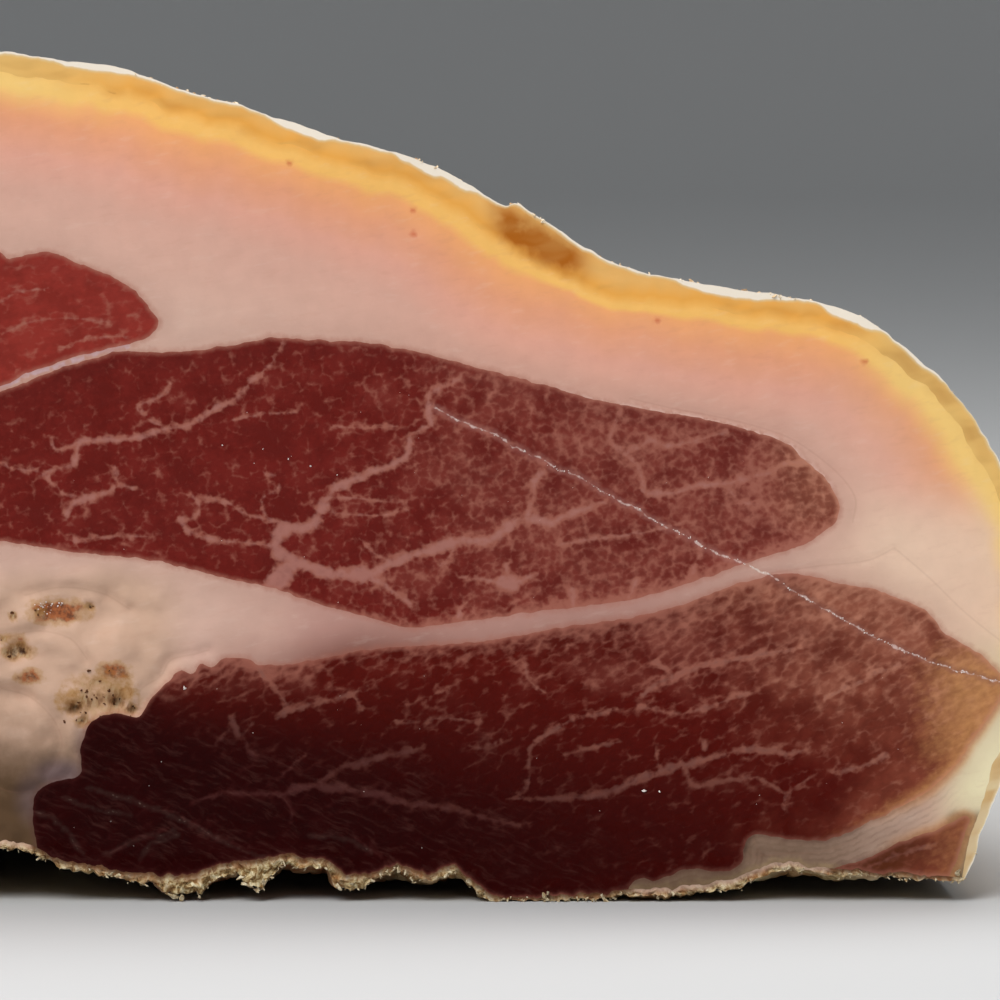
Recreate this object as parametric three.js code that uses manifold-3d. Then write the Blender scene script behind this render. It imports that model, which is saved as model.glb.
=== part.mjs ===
// Half of a boneless dry-cured ham, cut straight across and lying on its flesh side.
// Millimetres, +Z up. The cut face looks towards -Y, and the rounded butt end is at +Y.
// The origin is the middle of the ham's footprint on the table.
// The fat, with the rind and the dried lard on the flesh side as its skin, is one solid.
// Each muscle that the cut shows is a solid of its own that runs back through the fat.
import * as THREE from "three";
import { mergeVertices } from "three/addons/utils/BufferGeometryUtils.js";
import Module from "manifold-3d";

const wasm = await Module();
wasm.setup();

// Driving dimensions.
const DEPTH = 150; // from the cut face to the butt end
const GAP = 0.3; // clearance between a muscle and the fat round it
const LARD = 1.5; // dried lard left under the muscles on the flesh side
const COVER = 2.4; // least rind and fat over a muscle
const HALF_WIDTH = 115.5; // from the middle to either side of the cut face
const AXIS_HEIGHT = 36; // the sections shrink towards a line at this height
const AHEAD = 2; // what is cut away starts this far ahead of the cut face
const MUSCLE_DEPTH = 112; // how far the muscles run back from the cut face
const CROWN_RISE = 75; // from the axis height to the top of the crown
const PINCH = 0.75; // share of its area that a muscle loses at its blunt end

// How the body is stepped.
const BODY_STEPS = 16;
const MUSCLE_STEPS = 6;
const RIND_POINTS = 52;
const FLESH_POINTS = 42;
const MUSCLE_POINTS = 34;
const RING_CROWDING = 1.5; // above 1 the rings lie closer together at the butt end

// The rind's line on the cut face, [x, z], from the right corner over the crown to the left one.
const RIND_LINE = [
  [105.8, 2.6],
  [110, 15.6],
  [HALF_WIDTH, 33],
  [113.8, 50],
  [104.8, 65.7],
  [91.8, 76.6],
  [71, 80.9],
  [58, 84.5],
  [46.3, 90.7],
  [28, 98.8],
  [4.7, 105.7],
  [-12, 109.8],
  [-39.5, 111.4],
  [-66, 105.5],
  [-89, 88],
  [-108, 61],
  [-HALF_WIDTH, 33],
  [-113.2, 15],
  [-104, 4.6],
];

// The flesh side's height above the table on the cut face, [x, z], from left to right.
const FLESH_LINE = [
  [-104, 4.6],
  [-92, 1.2],
  [-78, -0.3],
  [-60, -0.3],
  [-45, 1.6],
  [-30, 5.6],
  [-18, 6.9],
  [-8, 3.6],
  [2, 0.9],
  [12, 2.0],
  [26, 1.4],
  [40, 0.8],
  [50, -0.3],
  [66, 0.3],
  [78, 1.8],
  [92, 3.1],
  [105.8, 2.6],
];

// Notches where the dried lard has broken away: centre, width and depth.
const NOTCHES = [
  { at: 19.5, wide: 10, deep: 3.2 },
  { at: 31.5, wide: 6.5, deep: 2.2 },
  { at: 39.3, wide: 6.5, deep: 3.2 },
  { at: 81.5, wide: 8, deep: 2.4 },
];
const NOTCH_FADE = 14; // how far back from the cut a notch runs out

// How the sections shrink towards the butt end.
const BUTT = {
  round: 3.2, // the higher, the later the crown starts to fall
  blunt: 2.2, // the higher, the steeper the end is
  narrowing: 0.07, // share of the width lost on the way
  liftStart: 0.62, // share of the depth after which the flesh side rises
  liftRound: 2.4,
  last: 0.995, // the end is cut off flat just before its tip
};

// Soft folds of the skin over the crown: height in millimetres, radians per millimetre across,
// and radians over the whole depth.
const SKIN_FOLDS = [
  { high: 1.1, across: 0.115, along: 5 },
  { high: 0.6, across: 0.26, along: -9 },
];

// The sag of the flesh side behind the cut, in the same units.
const SAG = { high: 1.3, across: 0.07, start: 1, along: 11, down: 0.9 };

// The muscles' outlines on the cut face, [x, z].
const MUSCLES = {
  lean_top: {
    colour: "#7c2621",
    outline: [
      [0.4, 75.9],
      [-5.0, 81.4],
      [-13.6, 84.8],
      [-28, 85.9],
      [-46, 83.2],
      [-61, 75.2],
      [-60, 67.8],
      [-45, 63.5],
      [-28, 65.4],
      [-16, 69.3],
      [-7.6, 72.2],
      [-2.8, 73.2],
    ],
  },
  lean_middle: {
    colour: "#701f1d",
    outline: [
      [89.0, 51.6],
      [86.5, 56.7],
      [77.5, 61.7],
      [58, 65.6],
      [40, 70.1],
      [22, 73.6],
      [11.2, 73.4],
      [-2, 71.8],
      [-12, 69.4],
      [-20, 66.6],
      [-36, 61.6],
      [-51, 57],
      [-53, 51.5],
      [-40, 49.2],
      [-20, 47.2],
      [-2, 45.2],
      [15.5, 41.2],
      [23, 38.2],
      [32, 36.1],
      [45, 37.6],
      [63.2, 39.9],
      [77.5, 44.6],
      [86.6, 48.1],
    ],
  },
  lean_lower: {
    colour: "#57171a",
    outline: [
      [111.0, 28.2],
      [106.8, 34.1],
      [101.5, 37.8],
      [92.5, 41.2],
      [81.5, 43.1],
      [71, 40.0],
      [57.4, 36.5],
      [38, 33.8],
      [20, 31.4],
      [6.6, 31.8],
      [-0.2, 26.5],
      [-7.6, 24.4],
      [-9.8, 17.0],
      [-15.4, 14.4],
      [-16, 8],
      [-14, -6],
      [70, -6],
      [76.5, 6.6],
      [79, 8.7],
      [88.2, 8.4],
      [101, 14.6],
      [107.4, 21.6],
    ],
  },
  lean_corner: {
    colour: "#6b3018",
    outline: [
      [88, 5.0],
      [97.3, 9.2],
      [107.2, 12.1],
      [107.6, 10.4],
      [105.4, 5],
      [103.5, -6],
      [89, -6],
    ],
  },
  lean_far: {
    colour: "#651c1c",
    outline: [
      [-42, 16],
      [-40, 27],
      [-47, 38],
      [-60, 46],
      [-76, 55],
      [-91, 53],
      [-99, 42],
      [-101, 28],
      [-97, 15],
      [-88, -6],
      [-46, -6],
    ],
  },
};

// A closed curve through a few points, as evenly spaced points.
function closedCurve(points, count) {
  const knots = points.map(([x, z]) => new THREE.Vector3(x, z, 0));
  return new THREE.CatmullRomCurve3(knots, true, "centripetal").getSpacedPoints(count).slice(0, count);
}

function openCurve(points, count) {
  const knots = points.map(([x, z]) => new THREE.Vector2(x, z));
  return new THREE.SplineCurve(knots).getSpacedPoints(count - 1);
}

const fleshCurve = openCurve(FLESH_LINE, 400);

// The height of the flesh side above the table at a place x, before the notches are cut.
function fleshHeight(x) {
  const after = fleshCurve.findIndex((p, i) => i > 0 && p.x >= x);
  const i = after < 0 ? fleshCurve.length - 1 : after;
  const [a, b] = [fleshCurve[i - 1], fleshCurve[i]];
  const u = THREE.MathUtils.clamp((x - a.x) / (b.x - a.x), 0, 1);
  return THREE.MathUtils.lerp(a.y, b.y, u);
}

// How much higher a notch makes the flesh side at x.
function notchHeight(x) {
  let lift = 0;
  for (const { at, wide, deep } of NOTCHES) {
    const u = Math.abs(x - at) / (wide / 2);
    if (u < 1) lift = Math.max(lift, deep * (1 - u ** 3));
  }
  return lift;
}

// The ham's outline on the cut face, drawn in by some millimetres over the rind and over the flesh side.
function bodyShape(rindInset, fleshInset) {
  const sideways = CROWN_RISE / (2 * HALF_WIDTH);
  const rind = openCurve(RIND_LINE, RIND_POINTS).map((p) => {
    const inward = new THREE.Vector2(-p.x * sideways, AXIS_HEIGHT - p.y).normalize();
    return p.clone().addScaledVector(inward, rindInset);
  });
  const [right, left] = [rind[0].x, rind[RIND_POINTS - 1].x];
  const flesh = [];
  for (let i = 1; i < FLESH_POINTS; i += 1) {
    const x = THREE.MathUtils.lerp(left, right, i / FLESH_POINTS);
    flesh.push(new THREE.Vector2(x, fleshHeight(x) + fleshInset));
  }
  return new THREE.Shape([...rind, ...flesh]);
}

// The share of its size that a section keeps, t being 0 at the cut face and 1 at the butt end.
function keptAbove(t) {
  return (1 - t ** BUTT.round) ** (1 / BUTT.blunt) * (1 - BUTT.narrowing * t);
}

function keptBelow(t) {
  const u = Math.max(0, (t - BUTT.liftStart) / (1 - BUTT.liftStart));
  return Math.sqrt(1 - u ** BUTT.liftRound);
}

// The folds of the skin start from nothing at the cut, and are gone again at the butt end.
function skinFold(x, t) {
  let swell = 0;
  for (const { high, across, along } of SKIN_FOLDS) {
    swell += high * Math.sin(across * x + along * t);
  }
  return swell * Math.min(1, 4 * t) * (1 - t);
}

function fleshSag(x, t) {
  return SAG.high * Math.sin(SAG.across * x + SAG.start) * Math.cos(SAG.along * t) - SAG.down;
}

// Moves a point of the straight block to its place in the rounded ham.
function settle(x, y, z) {
  const t = THREE.MathUtils.clamp((y + DEPTH / 2) / DEPTH, 0, BUTT.last);
  const above = keptAbove(t);
  const px = x * above;
  if (z >= AXIS_HEIGHT) {
    const crown = (z - AXIS_HEIGHT) / CROWN_RISE;
    return [px, y, AXIS_HEIGHT + (z - AXIS_HEIGHT) * above + skinFold(x, t) * crown];
  }
  const low = 1 - z / AXIS_HEIGHT;
  const fade = Math.exp((-t * DEPTH) / NOTCH_FADE);
  const lift = notchHeight(x) * fade + fleshSag(x, t) * (1 - fade);
  return [px, y, AXIS_HEIGHT - (AXIS_HEIGHT - z) * keptBelow(t) + lift * low ** 4];
}

// Extrudes a shape from the cut face backwards, and bends the block into the ham's form.
function loft(shape, front, back, steps, taper) {
  const block = new THREE.ExtrudeGeometry(shape, { depth: back - front, steps, bevelEnabled: false });
  block.deleteAttribute("normal");
  block.deleteAttribute("uv");
  block.rotateX(Math.PI / 2);
  block.translate(0, back, 0);
  const merged = mergeVertices(block, 1e-3);
  taper(merged.attributes.position);
  return merged;
}

function solidOf(geometry) {
  return new wasm.Manifold(
    new wasm.Mesh({
      numProp: 3,
      vertProperties: geometry.attributes.position.array,
      triVerts: new Uint32Array(geometry.index.array),
    }),
  );
}

function geometryOf(solid) {
  const made = solid.getMesh();
  const geometry = new THREE.BufferGeometry();
  geometry.setAttribute("position", new THREE.BufferAttribute(new Float32Array(made.vertProperties), 3));
  geometry.setIndex(new THREE.BufferAttribute(new Uint32Array(made.triVerts), 1));
  geometry.computeVertexNormals();
  return geometry;
}

// The whole ham, or the smaller ham inside it that holds the muscles. It may start ahead of the cut face.
function body(rindInset, fleshInset, backInset, ahead) {
  const shape = bodyShape(rindInset, fleshInset);
  const front = -DEPTH / 2 - ahead;
  const back = DEPTH / 2 - backInset;
  const geometry = loft(shape, front, back, BODY_STEPS, (place) => {
    for (let i = 0; i < place.count; i += 1) {
      const left = THREE.MathUtils.clamp((back - place.getY(i)) / (back - front), 0, 1);
      const ring = back - (back - front) * left ** RING_CROWDING;
      const [x, y, z] = settle(place.getX(i), ring, place.getZ(i));
      place.setXYZ(i, x, y, Math.max(fleshInset, z));
    }
  });
  return solidOf(geometry);
}

// A muscle's block, wider by some clearance, that narrows to a blunt end inside the ham.
function muscle(outline, clearance) {
  const curve = closedCurve(outline, MUSCLE_POINTS);
  if (THREE.ShapeUtils.isClockWise(curve)) curve.reverse();
  const middle = curve.reduce((sum, p) => sum.add(p), new THREE.Vector3()).divideScalar(curve.length);
  const grown = curve.map((p, i) => {
    const before = curve[(i + curve.length - 1) % curve.length];
    const after = curve[(i + 1) % curve.length];
    const along = new THREE.Vector2(after.x - before.x, after.y - before.y).normalize();
    return new THREE.Vector2(p.x + along.y * clearance, p.y - along.x * clearance);
  });
  const front = -DEPTH / 2 - AHEAD;
  const back = -DEPTH / 2 + MUSCLE_DEPTH + clearance;
  const geometry = loft(new THREE.Shape(grown), front, back, MUSCLE_STEPS, (place) => {
    for (let i = 0; i < place.count; i += 1) {
      const y = place.getY(i);
      const run = Math.max(0, (y + DEPTH / 2) / (back + DEPTH / 2));
      const keep = Math.sqrt(1 - PINCH * run ** 5);
      const x = middle.x + (place.getX(i) - middle.x) * keep;
      const z = middle.y + (place.getZ(i) - middle.y) * keep;
      place.setXYZ(i, ...settle(x, y, z));
    }
  });
  return solidOf(geometry);
}

function piece(name, solid, colour, roughness) {
  const material = new THREE.MeshStandardMaterial({ color: colour, roughness, metalness: 0 });
  const mesh = new THREE.Mesh(geometryOf(solid), material);
  mesh.name = name;
  return mesh;
}

const ham = new THREE.Group();
const core = body(COVER, LARD, COVER, 0);
const coreWithGap = body(COVER - GAP, LARD - GAP, COVER - GAP, AHEAD);
let fat = body(0, 0, 0, 0);
for (const [name, { outline, colour }] of Object.entries(MUSCLES)) {
  ham.add(piece(name, muscle(outline, 0).intersect(core), colour, 0.5));
  fat = fat.subtract(muscle(outline, GAP).intersect(coreWithGap));
}
ham.add(piece("fat_and_rind", fat, "#d9a58a", 0.45));

export default ham;
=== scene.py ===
"""The looks of half a boneless dry-cured ham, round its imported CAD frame.

Lengths are millimetres until a mesh is made. The cut face looks towards -Y, and the butt end is at +Y.
What the photograph shows on the cut face is given in its pixels, and on_face turns them into millimetres.
"""
import math

import bmesh
import bpy
import numpy as np
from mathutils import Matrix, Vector, noise
from mathutils.geometry import delaunay_2d_cdt


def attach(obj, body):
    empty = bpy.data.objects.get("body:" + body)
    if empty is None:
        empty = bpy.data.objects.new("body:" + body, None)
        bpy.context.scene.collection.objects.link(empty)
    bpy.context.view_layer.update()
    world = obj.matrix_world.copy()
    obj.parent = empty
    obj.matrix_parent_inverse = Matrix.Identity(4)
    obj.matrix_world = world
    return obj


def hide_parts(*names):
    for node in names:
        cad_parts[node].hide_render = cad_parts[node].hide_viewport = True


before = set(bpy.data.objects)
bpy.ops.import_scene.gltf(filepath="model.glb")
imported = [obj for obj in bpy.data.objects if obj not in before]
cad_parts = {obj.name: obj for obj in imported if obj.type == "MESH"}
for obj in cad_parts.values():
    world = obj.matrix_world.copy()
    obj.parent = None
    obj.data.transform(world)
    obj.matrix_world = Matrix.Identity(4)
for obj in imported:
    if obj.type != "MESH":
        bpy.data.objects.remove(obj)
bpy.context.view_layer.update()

MM = 0.001
dice = np.random.default_rng(7)

# The ham's form, as in the CAD model.
DEPTH = 150.0
FRONT = -DEPTH / 2
AXIS_HEIGHT = 36.0
CROWN_RISE = 75.0
BUTT_ROUND, BUTT_BLUNT, NARROWING = 3.2, 2.2, 0.07
LIFT_START, LIFT_ROUND = 0.62, 2.4
SKIN_FOLDS = ((1.1, 0.115, 5.0), (0.6, 0.26, -9.0))
SAG_HIGH, SAG_ACROSS, SAG_START, SAG_ALONG, SAG_DOWN = 1.3, 0.07, 1.0, 11.0, 0.9
NOTCH_FADE = 14.0
MUSCLE_DEPTH = 112.0
PINCH = 0.75
MUSCLE_RINGS = (0.8, 3, 10, 30, 60, 85, 102, MUSCLE_DEPTH)
FAT_RINGS = (0.8, 3, 10, 30, 55, 80, 100, 118, 130, 138)
FLESH_LINE = ((-104, 4.6), (-92, 1.2), (-78, -0.3), (-60, -0.3), (-45, 1.6), (-30, 5.6), (-18, 6.9),
              (-8, 3.6), (2, 0.9), (12, 2.0), (26, 1.4), (40, 0.8), (50, -0.3), (66, 0.3), (78, 1.8),
              (92, 3.1), (105.8, 2.6))

# The shells round the fat.
SKIN_THICK = 4.0  # rind and dried lard behind the cut face
SKIN_DROP, DROP_LENGTH = 1.2, 6.0  # the skin draws in just behind the cut
BUMP_LENGTH = 9.0  # the small bumps of the cut's edge fade behind it
INNER_LENGTH = DEPTH - SKIN_THICK
FLOOR_GAP = 0.02
INNER_LIFT, FAT_LIFT, MUSCLE_LIFT = 0.6, 0.9, 1.2  # the least heights of what lies inside
RINGS = 96
OUTER_ROWS = RINGS - 1
INNER_STEP = 6  # every sixth ring on the inside of a shell
CALM_POINTS = 10  # a shell's two long edges stay smooth over some points
PROFILE_HEIGHT = 110.0  # the rings are spaced along the line that runs back from here

# Photograph to cut face.
PIXEL = 0.13
FACE_LEFT, FACE_TOP = -20.0, 117.65

# Mesh spacing on the cut face, where the camera sees it and where it doesn't.
SEEN_LEFT = -22.0
LEAN_FINE, LEAN_COARSE = 0.34, 0.8
FAT_FINE, FAT_COARSE = 0.5, 1.2
EDGE_FINE, EDGE_COARSE = 0.4, 1.1
JITTER = 0.22
ROW_SHARE = 0.866
SHARP_ANGLE = 55

# The UV map. A shell's rows are its outside, its band at the cut and its inside, each by start and height.
UV_EDGE, UV_WIDE, UV_GAP = 0.01, 0.98, 0.004
UV_FRONT = (0.34, 0.65)
SHELL_UV_EDGE, SHELL_UV_WIDE = 0.02, 0.96
SHELL_UV_ROWS = ((0.03, 0.60), (0.63, 0.28), (0.91, 0.06))
SHELL_UV_ENDS = ((0.012, 0.004), (0.988, 0.996))
POLE_V, END_POLE_V = (0.01, 0.99), 0.005

# The stage, in metres and degrees.
FLOOR_FLAT, FLOOR_CURVE, FLOOR_SIDES = 2.6, 1.6, 96
CAMERA_LENS, CAMERA_DISTANCE, CAMERA_ELEVATION = 249.0, 0.9, math.radians(4.5)
CAMERA_TARGET = (0.045, FRONT * MM, 0.05265)

# The line at the left and right ends where the lower edge is calm, and how near a muscle's foot it is.
CALM_LEFT, CALM_RIGHT, CALM_FOOT = (SEEN_LEFT - 10, SEEN_LEFT), (105, 102), (0.5, 2.5)

# The rind's outer line over the crown from left to right: pixel, pixel, thickness in millimetres.
RIND = ((-646, 870, 0.3), (-680, 832, 1.3), (-717, 790, 2.0), (-735, 651, 2.6), (-723, 535, 3.0),
        (-677, 436, 3.1), (-531, 228, 3.2), (-354, 93, 3.2), (-150, 50, 3.0), (0, 52, 2.7), (60, 60, 2.9),
        (120, 68, 3.1), (190, 92, 3.2), (245, 107, 3.0), (290, 122, 2.9), (330, 135, 2.8), (420, 160, 3.3),
        (470, 185, 4.0), (505, 206, 5.0), (514, 203, 5.5), (532, 212, 5.8), (572, 239, 5.4),
        (620, 265, 4.2), (700, 283, 3.3), (790, 297, 2.9), (860, 316, 2.6), (920, 360, 2.3),
        (960, 400, 2.2), (1000, 462, 2.2), (1025, 520, 2.2), (1040, 600, 2.2), (1030, 700, 2.0),
        (1003, 785, 1.6), (985, 831, 1.3), (974, 868, 0.9), (966, 884, 0.35))

# The ragged lower edge of the cut face, and the line where the dried lard above it ends.
LOW_EDGE = ((-646, 870), (-554, 896), (-446, 905), (-308, 905), (-192, 893), (-77, 862), (0, 850),
            (30, 855), (60, 870), (100, 877), (130, 885), (148, 885), (170, 898), (202, 891), (234, 877),
            (252, 884), (265, 890), (278, 874), (290, 866), (325, 872), (331, 892), (350, 890), (370, 886),
            (397, 872), (430, 885), (440, 884), (456, 873), (475, 893), (490, 904), (545, 904), (600, 901),
            (640, 899), (690, 897), (740, 890), (765, 880), (785, 871), (830, 877), (900, 880), (958, 884),
            (966, 884))
LARD_TOP = ((-646, 867), (-554, 892), (-446, 900), (-308, 900), (-192, 888), (-77, 857), (0, 843),
            (30, 848), (60, 863), (100, 870), (140, 877), (180, 878), (200, 874), (223, 866), (260, 862),
            (287, 856), (328, 864), (345, 876), (370, 877), (397, 866), (430, 877), (456, 867), (476, 886),
            (492, 900), (545, 900), (600, 896), (634, 892), (659, 892), (679, 889), (704, 888), (730, 884),
            (745, 877), (765, 869), (785, 864), (830, 871), (900, 876), (946, 879), (966, 881))

# The muscles' outlines. A closed one goes round. An open one stands with its two ends on the dried lard.
TOP = ((0, 252), (10, 258), (30, 254), (45, 251), (75, 262), (115, 278), (135, 290), (150, 308),
       (158, 322), (152, 335), (130, 343), (95, 352), (60, 362), (30, 372), (0, 386), (-62, 402),
       (-192, 417), (-308, 383), (-315, 327), (-200, 265), (-62, 244))
MIDDLE = ((0, 392), (30, 380), (60, 368), (95, 358), (120, 351), (150, 352), (200, 350), (240, 343),
          (270, 338), (320, 340), (370, 343), (420, 352), (480, 368), (520, 378), (600, 400), (650, 410),
          (700, 418), (750, 430), (790, 445), (805, 460), (825, 478), (838, 498), (838, 518), (820, 535),
          (795, 548), (750, 562), (700, 580), (640, 598), (600, 605), (540, 612), (500, 617), (430, 626),
          (405, 628), (370, 618), (330, 608), (305, 600), (280, 590), (270, 588), (235, 580), (200, 572),
          (160, 562), (110, 556), (70, 552), (0, 541), (-154, 527), (-254, 509), (-238, 467), (-123, 431))
LOWER = ((35, 850), (31, 820), (35, 795), (50, 785), (78, 775), (80, 745), (95, 720), (120, 715),
         (138, 718), (150, 700), (165, 685), (178, 672), (192, 675), (200, 664), (212, 668), (222, 660),
         (242, 659), (261, 666), (306, 663), (351, 653), (399, 648), (446, 645), (500, 640), (564, 628),
         (596, 624), (659, 612), (707, 596), (742, 583), (761, 578), (781, 574), (806, 575), (835, 583),
         (867, 588), (899, 599), (924, 610), (935, 621), (946, 634), (978, 653), (1000, 672), (1008, 688),
         (1000, 704), (978, 736), (959, 765), (930, 793), (883, 819), (832, 841), (806, 843), (790, 842),
         (771, 838), (757, 838), (747, 844), (744, 853), (745, 861), (741, 868), (731, 873), (715, 875),
         (700, 872), (684, 873), (668, 880), (655, 884), (643, 881), (634, 885), (628, 892))
CORNER = ((836, 871), (868, 861), (902, 845), (944, 830), (966, 818), (971, 822), (967, 838), (957, 866),
          (952, 880))
FAR = ((-560, 892), (-592, 790), (-623, 690), (-608, 582), (-546, 497), (-431, 482), (-308, 551),
       (-208, 613), (-154, 697), (-169, 782), (-185, 888))

# The veins of fat in the muscles: width in millimetres at the start and at the end, then pixels.
MIDDLE_VEINS = (
    (0.5, 0.9, (459, 379), (444, 386), (429, 395), (430, 426), (411, 434), (406, 456), (370, 473),
     (351, 480)),
    (0.9, 1.5, (351, 480), (329, 494), (318, 519), (307, 527), (280, 530)),
    (1.7, 1.4, (280, 530), (275, 545), (284, 558), (306, 566), (329, 574), (373, 574)),
    (1.3, 0.8, (373, 574), (398, 560), (430, 551), (457, 542), (490, 540), (507, 528), (526, 519),
     (551, 523)),
    (0.8, 0.5, (551, 523), (575, 513), (605, 502)),
    (0.5, 0.7, (526, 519), (533, 498), (535, 482), (542, 473)),
    (1.4, 1.9, (296, 563), (284, 573), (275, 583), (270, 592)),
    (0.4, 0.7, (284, 338), (274, 360), (247, 385), (236, 398), (214, 409), (188, 425), (164, 429)),
    (0.8, 0.5, (164, 429), (132, 438), (79, 444), (74, 462), (41, 473)),
    (0.3, 0.4, (169, 384), (161, 396), (137, 407), (145, 417), (164, 427)),
    (0.3, 0.3, (214, 409), (239, 398), (249, 384)),
    (0.5, 0.3, (79, 444), (55, 449), (52, 440)),
    (0.5, 0.4, (115, 467), (118, 483), (132, 488)),
    (0.5, 0.9, (118, 483), (104, 494), (74, 503), (64, 516)),
    (0.4, 0.3, (66, 541), (110, 537), (148, 537)),
    (0.3, 0.6, (190, 494), (198, 502), (196, 517), (180, 521), (196, 535), (218, 541)),
    (0.4, 0.6, (218, 541), (243, 543), (263, 545), (275, 548)),
    (0.3, 0.4, (198, 497), (226, 502), (243, 513), (263, 519), (280, 523)),
    (0.25, 0.3, (263, 472), (278, 478), (278, 488), (263, 498), (265, 515), (280, 523)),
    (0.3, 0.25, (333, 498), (355, 498), (386, 502), (406, 502)),
    (0.25, 0.3, (331, 513), (353, 515), (386, 515), (406, 509)),
    (0.5, 0.4, (373, 580), (396, 594), (410, 604)),
    (0.3, 0.3, (359, 539), (373, 553), (386, 560)),
    (0.2, 0.2, (233, 420), (263, 414), (296, 412)),
    (0.2, 0.2, (334, 426), (365, 428), (398, 426)),
    (0.2, 0.5, (460, 578), (484, 580), (498, 583)),
    (1.3, 2.0, (500, 584), (506, 583), (512, 584)),
    (0.6, 0.3, (512, 584), (524, 580), (536, 574)),
    (0.5, 0.9, (506, 566), (508, 575), (510, 584)),
    (0.4, 0.8, (572, 590), (573, 600), (574, 610)),
    (0.4, 0.7, (640, 580), (632, 590), (628, 600)),
    (0.3, 0.6, (470, 600), (462, 608), (458, 618)),
    (0.3, 0.5, (700, 556), (694, 568), (690, 580)),
    (0.3, 0.5, (622, 409), (616, 424), (610, 440), (622, 450), (640, 447), (649, 439)),
    (0.6, 0.3, (649, 439), (668, 446), (704, 438), (726, 432)),
    (0.5, 0.7, (625, 454), (638, 468), (647, 493), (652, 494)),
    (0.9, 0.3, (652, 494), (674, 493), (704, 484), (726, 484), (748, 477), (770, 473), (784, 464),
     (806, 462)),
    (0.3, 0.3, (726, 484), (738, 500), (760, 506)),
    (0.3, 0.4, (0, 466), (22, 470), (41, 473), (60, 492), (88, 498)),
    (0.3, 0.2, (560, 545), (590, 540), (640, 534), (680, 524)),
    (0.3, 0.4, (440, 566), (450, 556), (457, 542)),
    (0.4, 0.3, (-20, 520), (-70, 498), (-120, 486), (-180, 492)),
)
LOWER_VEINS = (
    (0.6, 0.4, (255, 666), (268, 682), (287, 711), (277, 719)),
    (0.4, 0.4, (287, 713), (320, 703), (349, 696), (368, 687)),
    (0.3, 0.25, (354, 698), (362, 712)),
    (0.9, 0.5, (231, 720), (239, 740), (255, 758)),
    (0.4, 0.25, (228, 732), (218, 740), (215, 752)),
    (0.4, 0.3, (250, 727), (241, 738)),
    (0.3, 0.8, (191, 805), (215, 798), (250, 795), (282, 797)),
    (1.0, 1.1, (282, 797), (304, 789), (341, 791), (381, 797)),
    (0.9, 0.4, (381, 797), (395, 803), (448, 811), (496, 823), (520, 828)),
    (0.6, 0.7, (320, 783), (336, 773), (357, 766)),
    (0.7, 0.5, (357, 766), (389, 757), (424, 749)),
    (0.5, 0.3, (282, 799), (290, 812), (292, 824)),
    (0.3, 0.3, (279, 783), (287, 770), (304, 758)),
    (0.25, 0.25, (425, 708), (435, 695), (450, 690)),
    (0.25, 0.25, (395, 722), (405, 725), (440, 720), (480, 723)),
    (0.25, 0.25, (470, 748), (485, 750), (500, 742)),
    (0.3, 0.9, (506, 801), (548, 801), (589, 799), (612, 794), (637, 783), (663, 772)),
    (0.8, 0.45, (663, 772), (686, 767), (709, 760), (755, 751), (787, 756), (810, 751)),
    (0.5, 0.35, (686, 772), (695, 788), (732, 781), (765, 783), (784, 796)),
    (0.35, 0.7, (519, 796), (530, 780), (529, 764), (533, 745), (557, 731)),
    (0.6, 0.4, (557, 731), (576, 719), (602, 715), (618, 711)),
    (0.3, 0.3, (566, 757), (590, 750), (620, 744)),
    (0.4, 0.6, (643, 697), (663, 682), (674, 680), (695, 669), (716, 664)),
    (0.6, 0.35, (716, 664), (766, 655), (801, 648)),
    (0.35, 0.35, (656, 664), (668, 672), (674, 680)),
    (0.4, 0.4, (640, 708), (679, 715), (709, 708), (750, 694)),
    (0.35, 0.4, (826, 700), (842, 692), (858, 685), (870, 678), (899, 666)),
    (0.4, 0.35, (835, 774), (858, 770), (888, 758)),
    (0.3, 0.3, (525, 665), (529, 681), (545, 694)),
    (0.3, 0.3, (659, 767), (656, 751)),
    (0.3, 0.3, (704, 751), (707, 739)),
    (0.3, 0.3, (818, 776), (790, 796), (786, 812)),
    (0.2, 0.25, (151, 805), (191, 826), (215, 841), (250, 850)),
    (0.25, 0.2, (127, 842), (164, 834)),
    (0.25, 0.2, (105, 858), (137, 840)),
    (0.2, 0.2, (354, 840), (389, 866)),
)
TOP_VEINS = (
    (0.2, 0.3, (0, 300), (20, 292), (48, 288)),
    (0.2, 0.2, (2, 334), (30, 322), (70, 318), (110, 322)),
    (0.25, 0.2, (60, 348), (90, 338), (128, 336)),
)
CORNER_VEINS = (
    (0.3, 0.3, (870, 870), (900, 858), (940, 846)),
)
FAR_VEINS = (
    (0.6, 1.0, (-200, 640), (-270, 660), (-330, 640), (-400, 670)),
    (1.0, 0.6, (-400, 670), (-470, 640), (-540, 650)),
    (0.6, 0.5, (-330, 640), (-350, 580), (-420, 540)),
    (0.6, 0.4, (-400, 670), (-420, 740), (-380, 810)),
)

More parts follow.
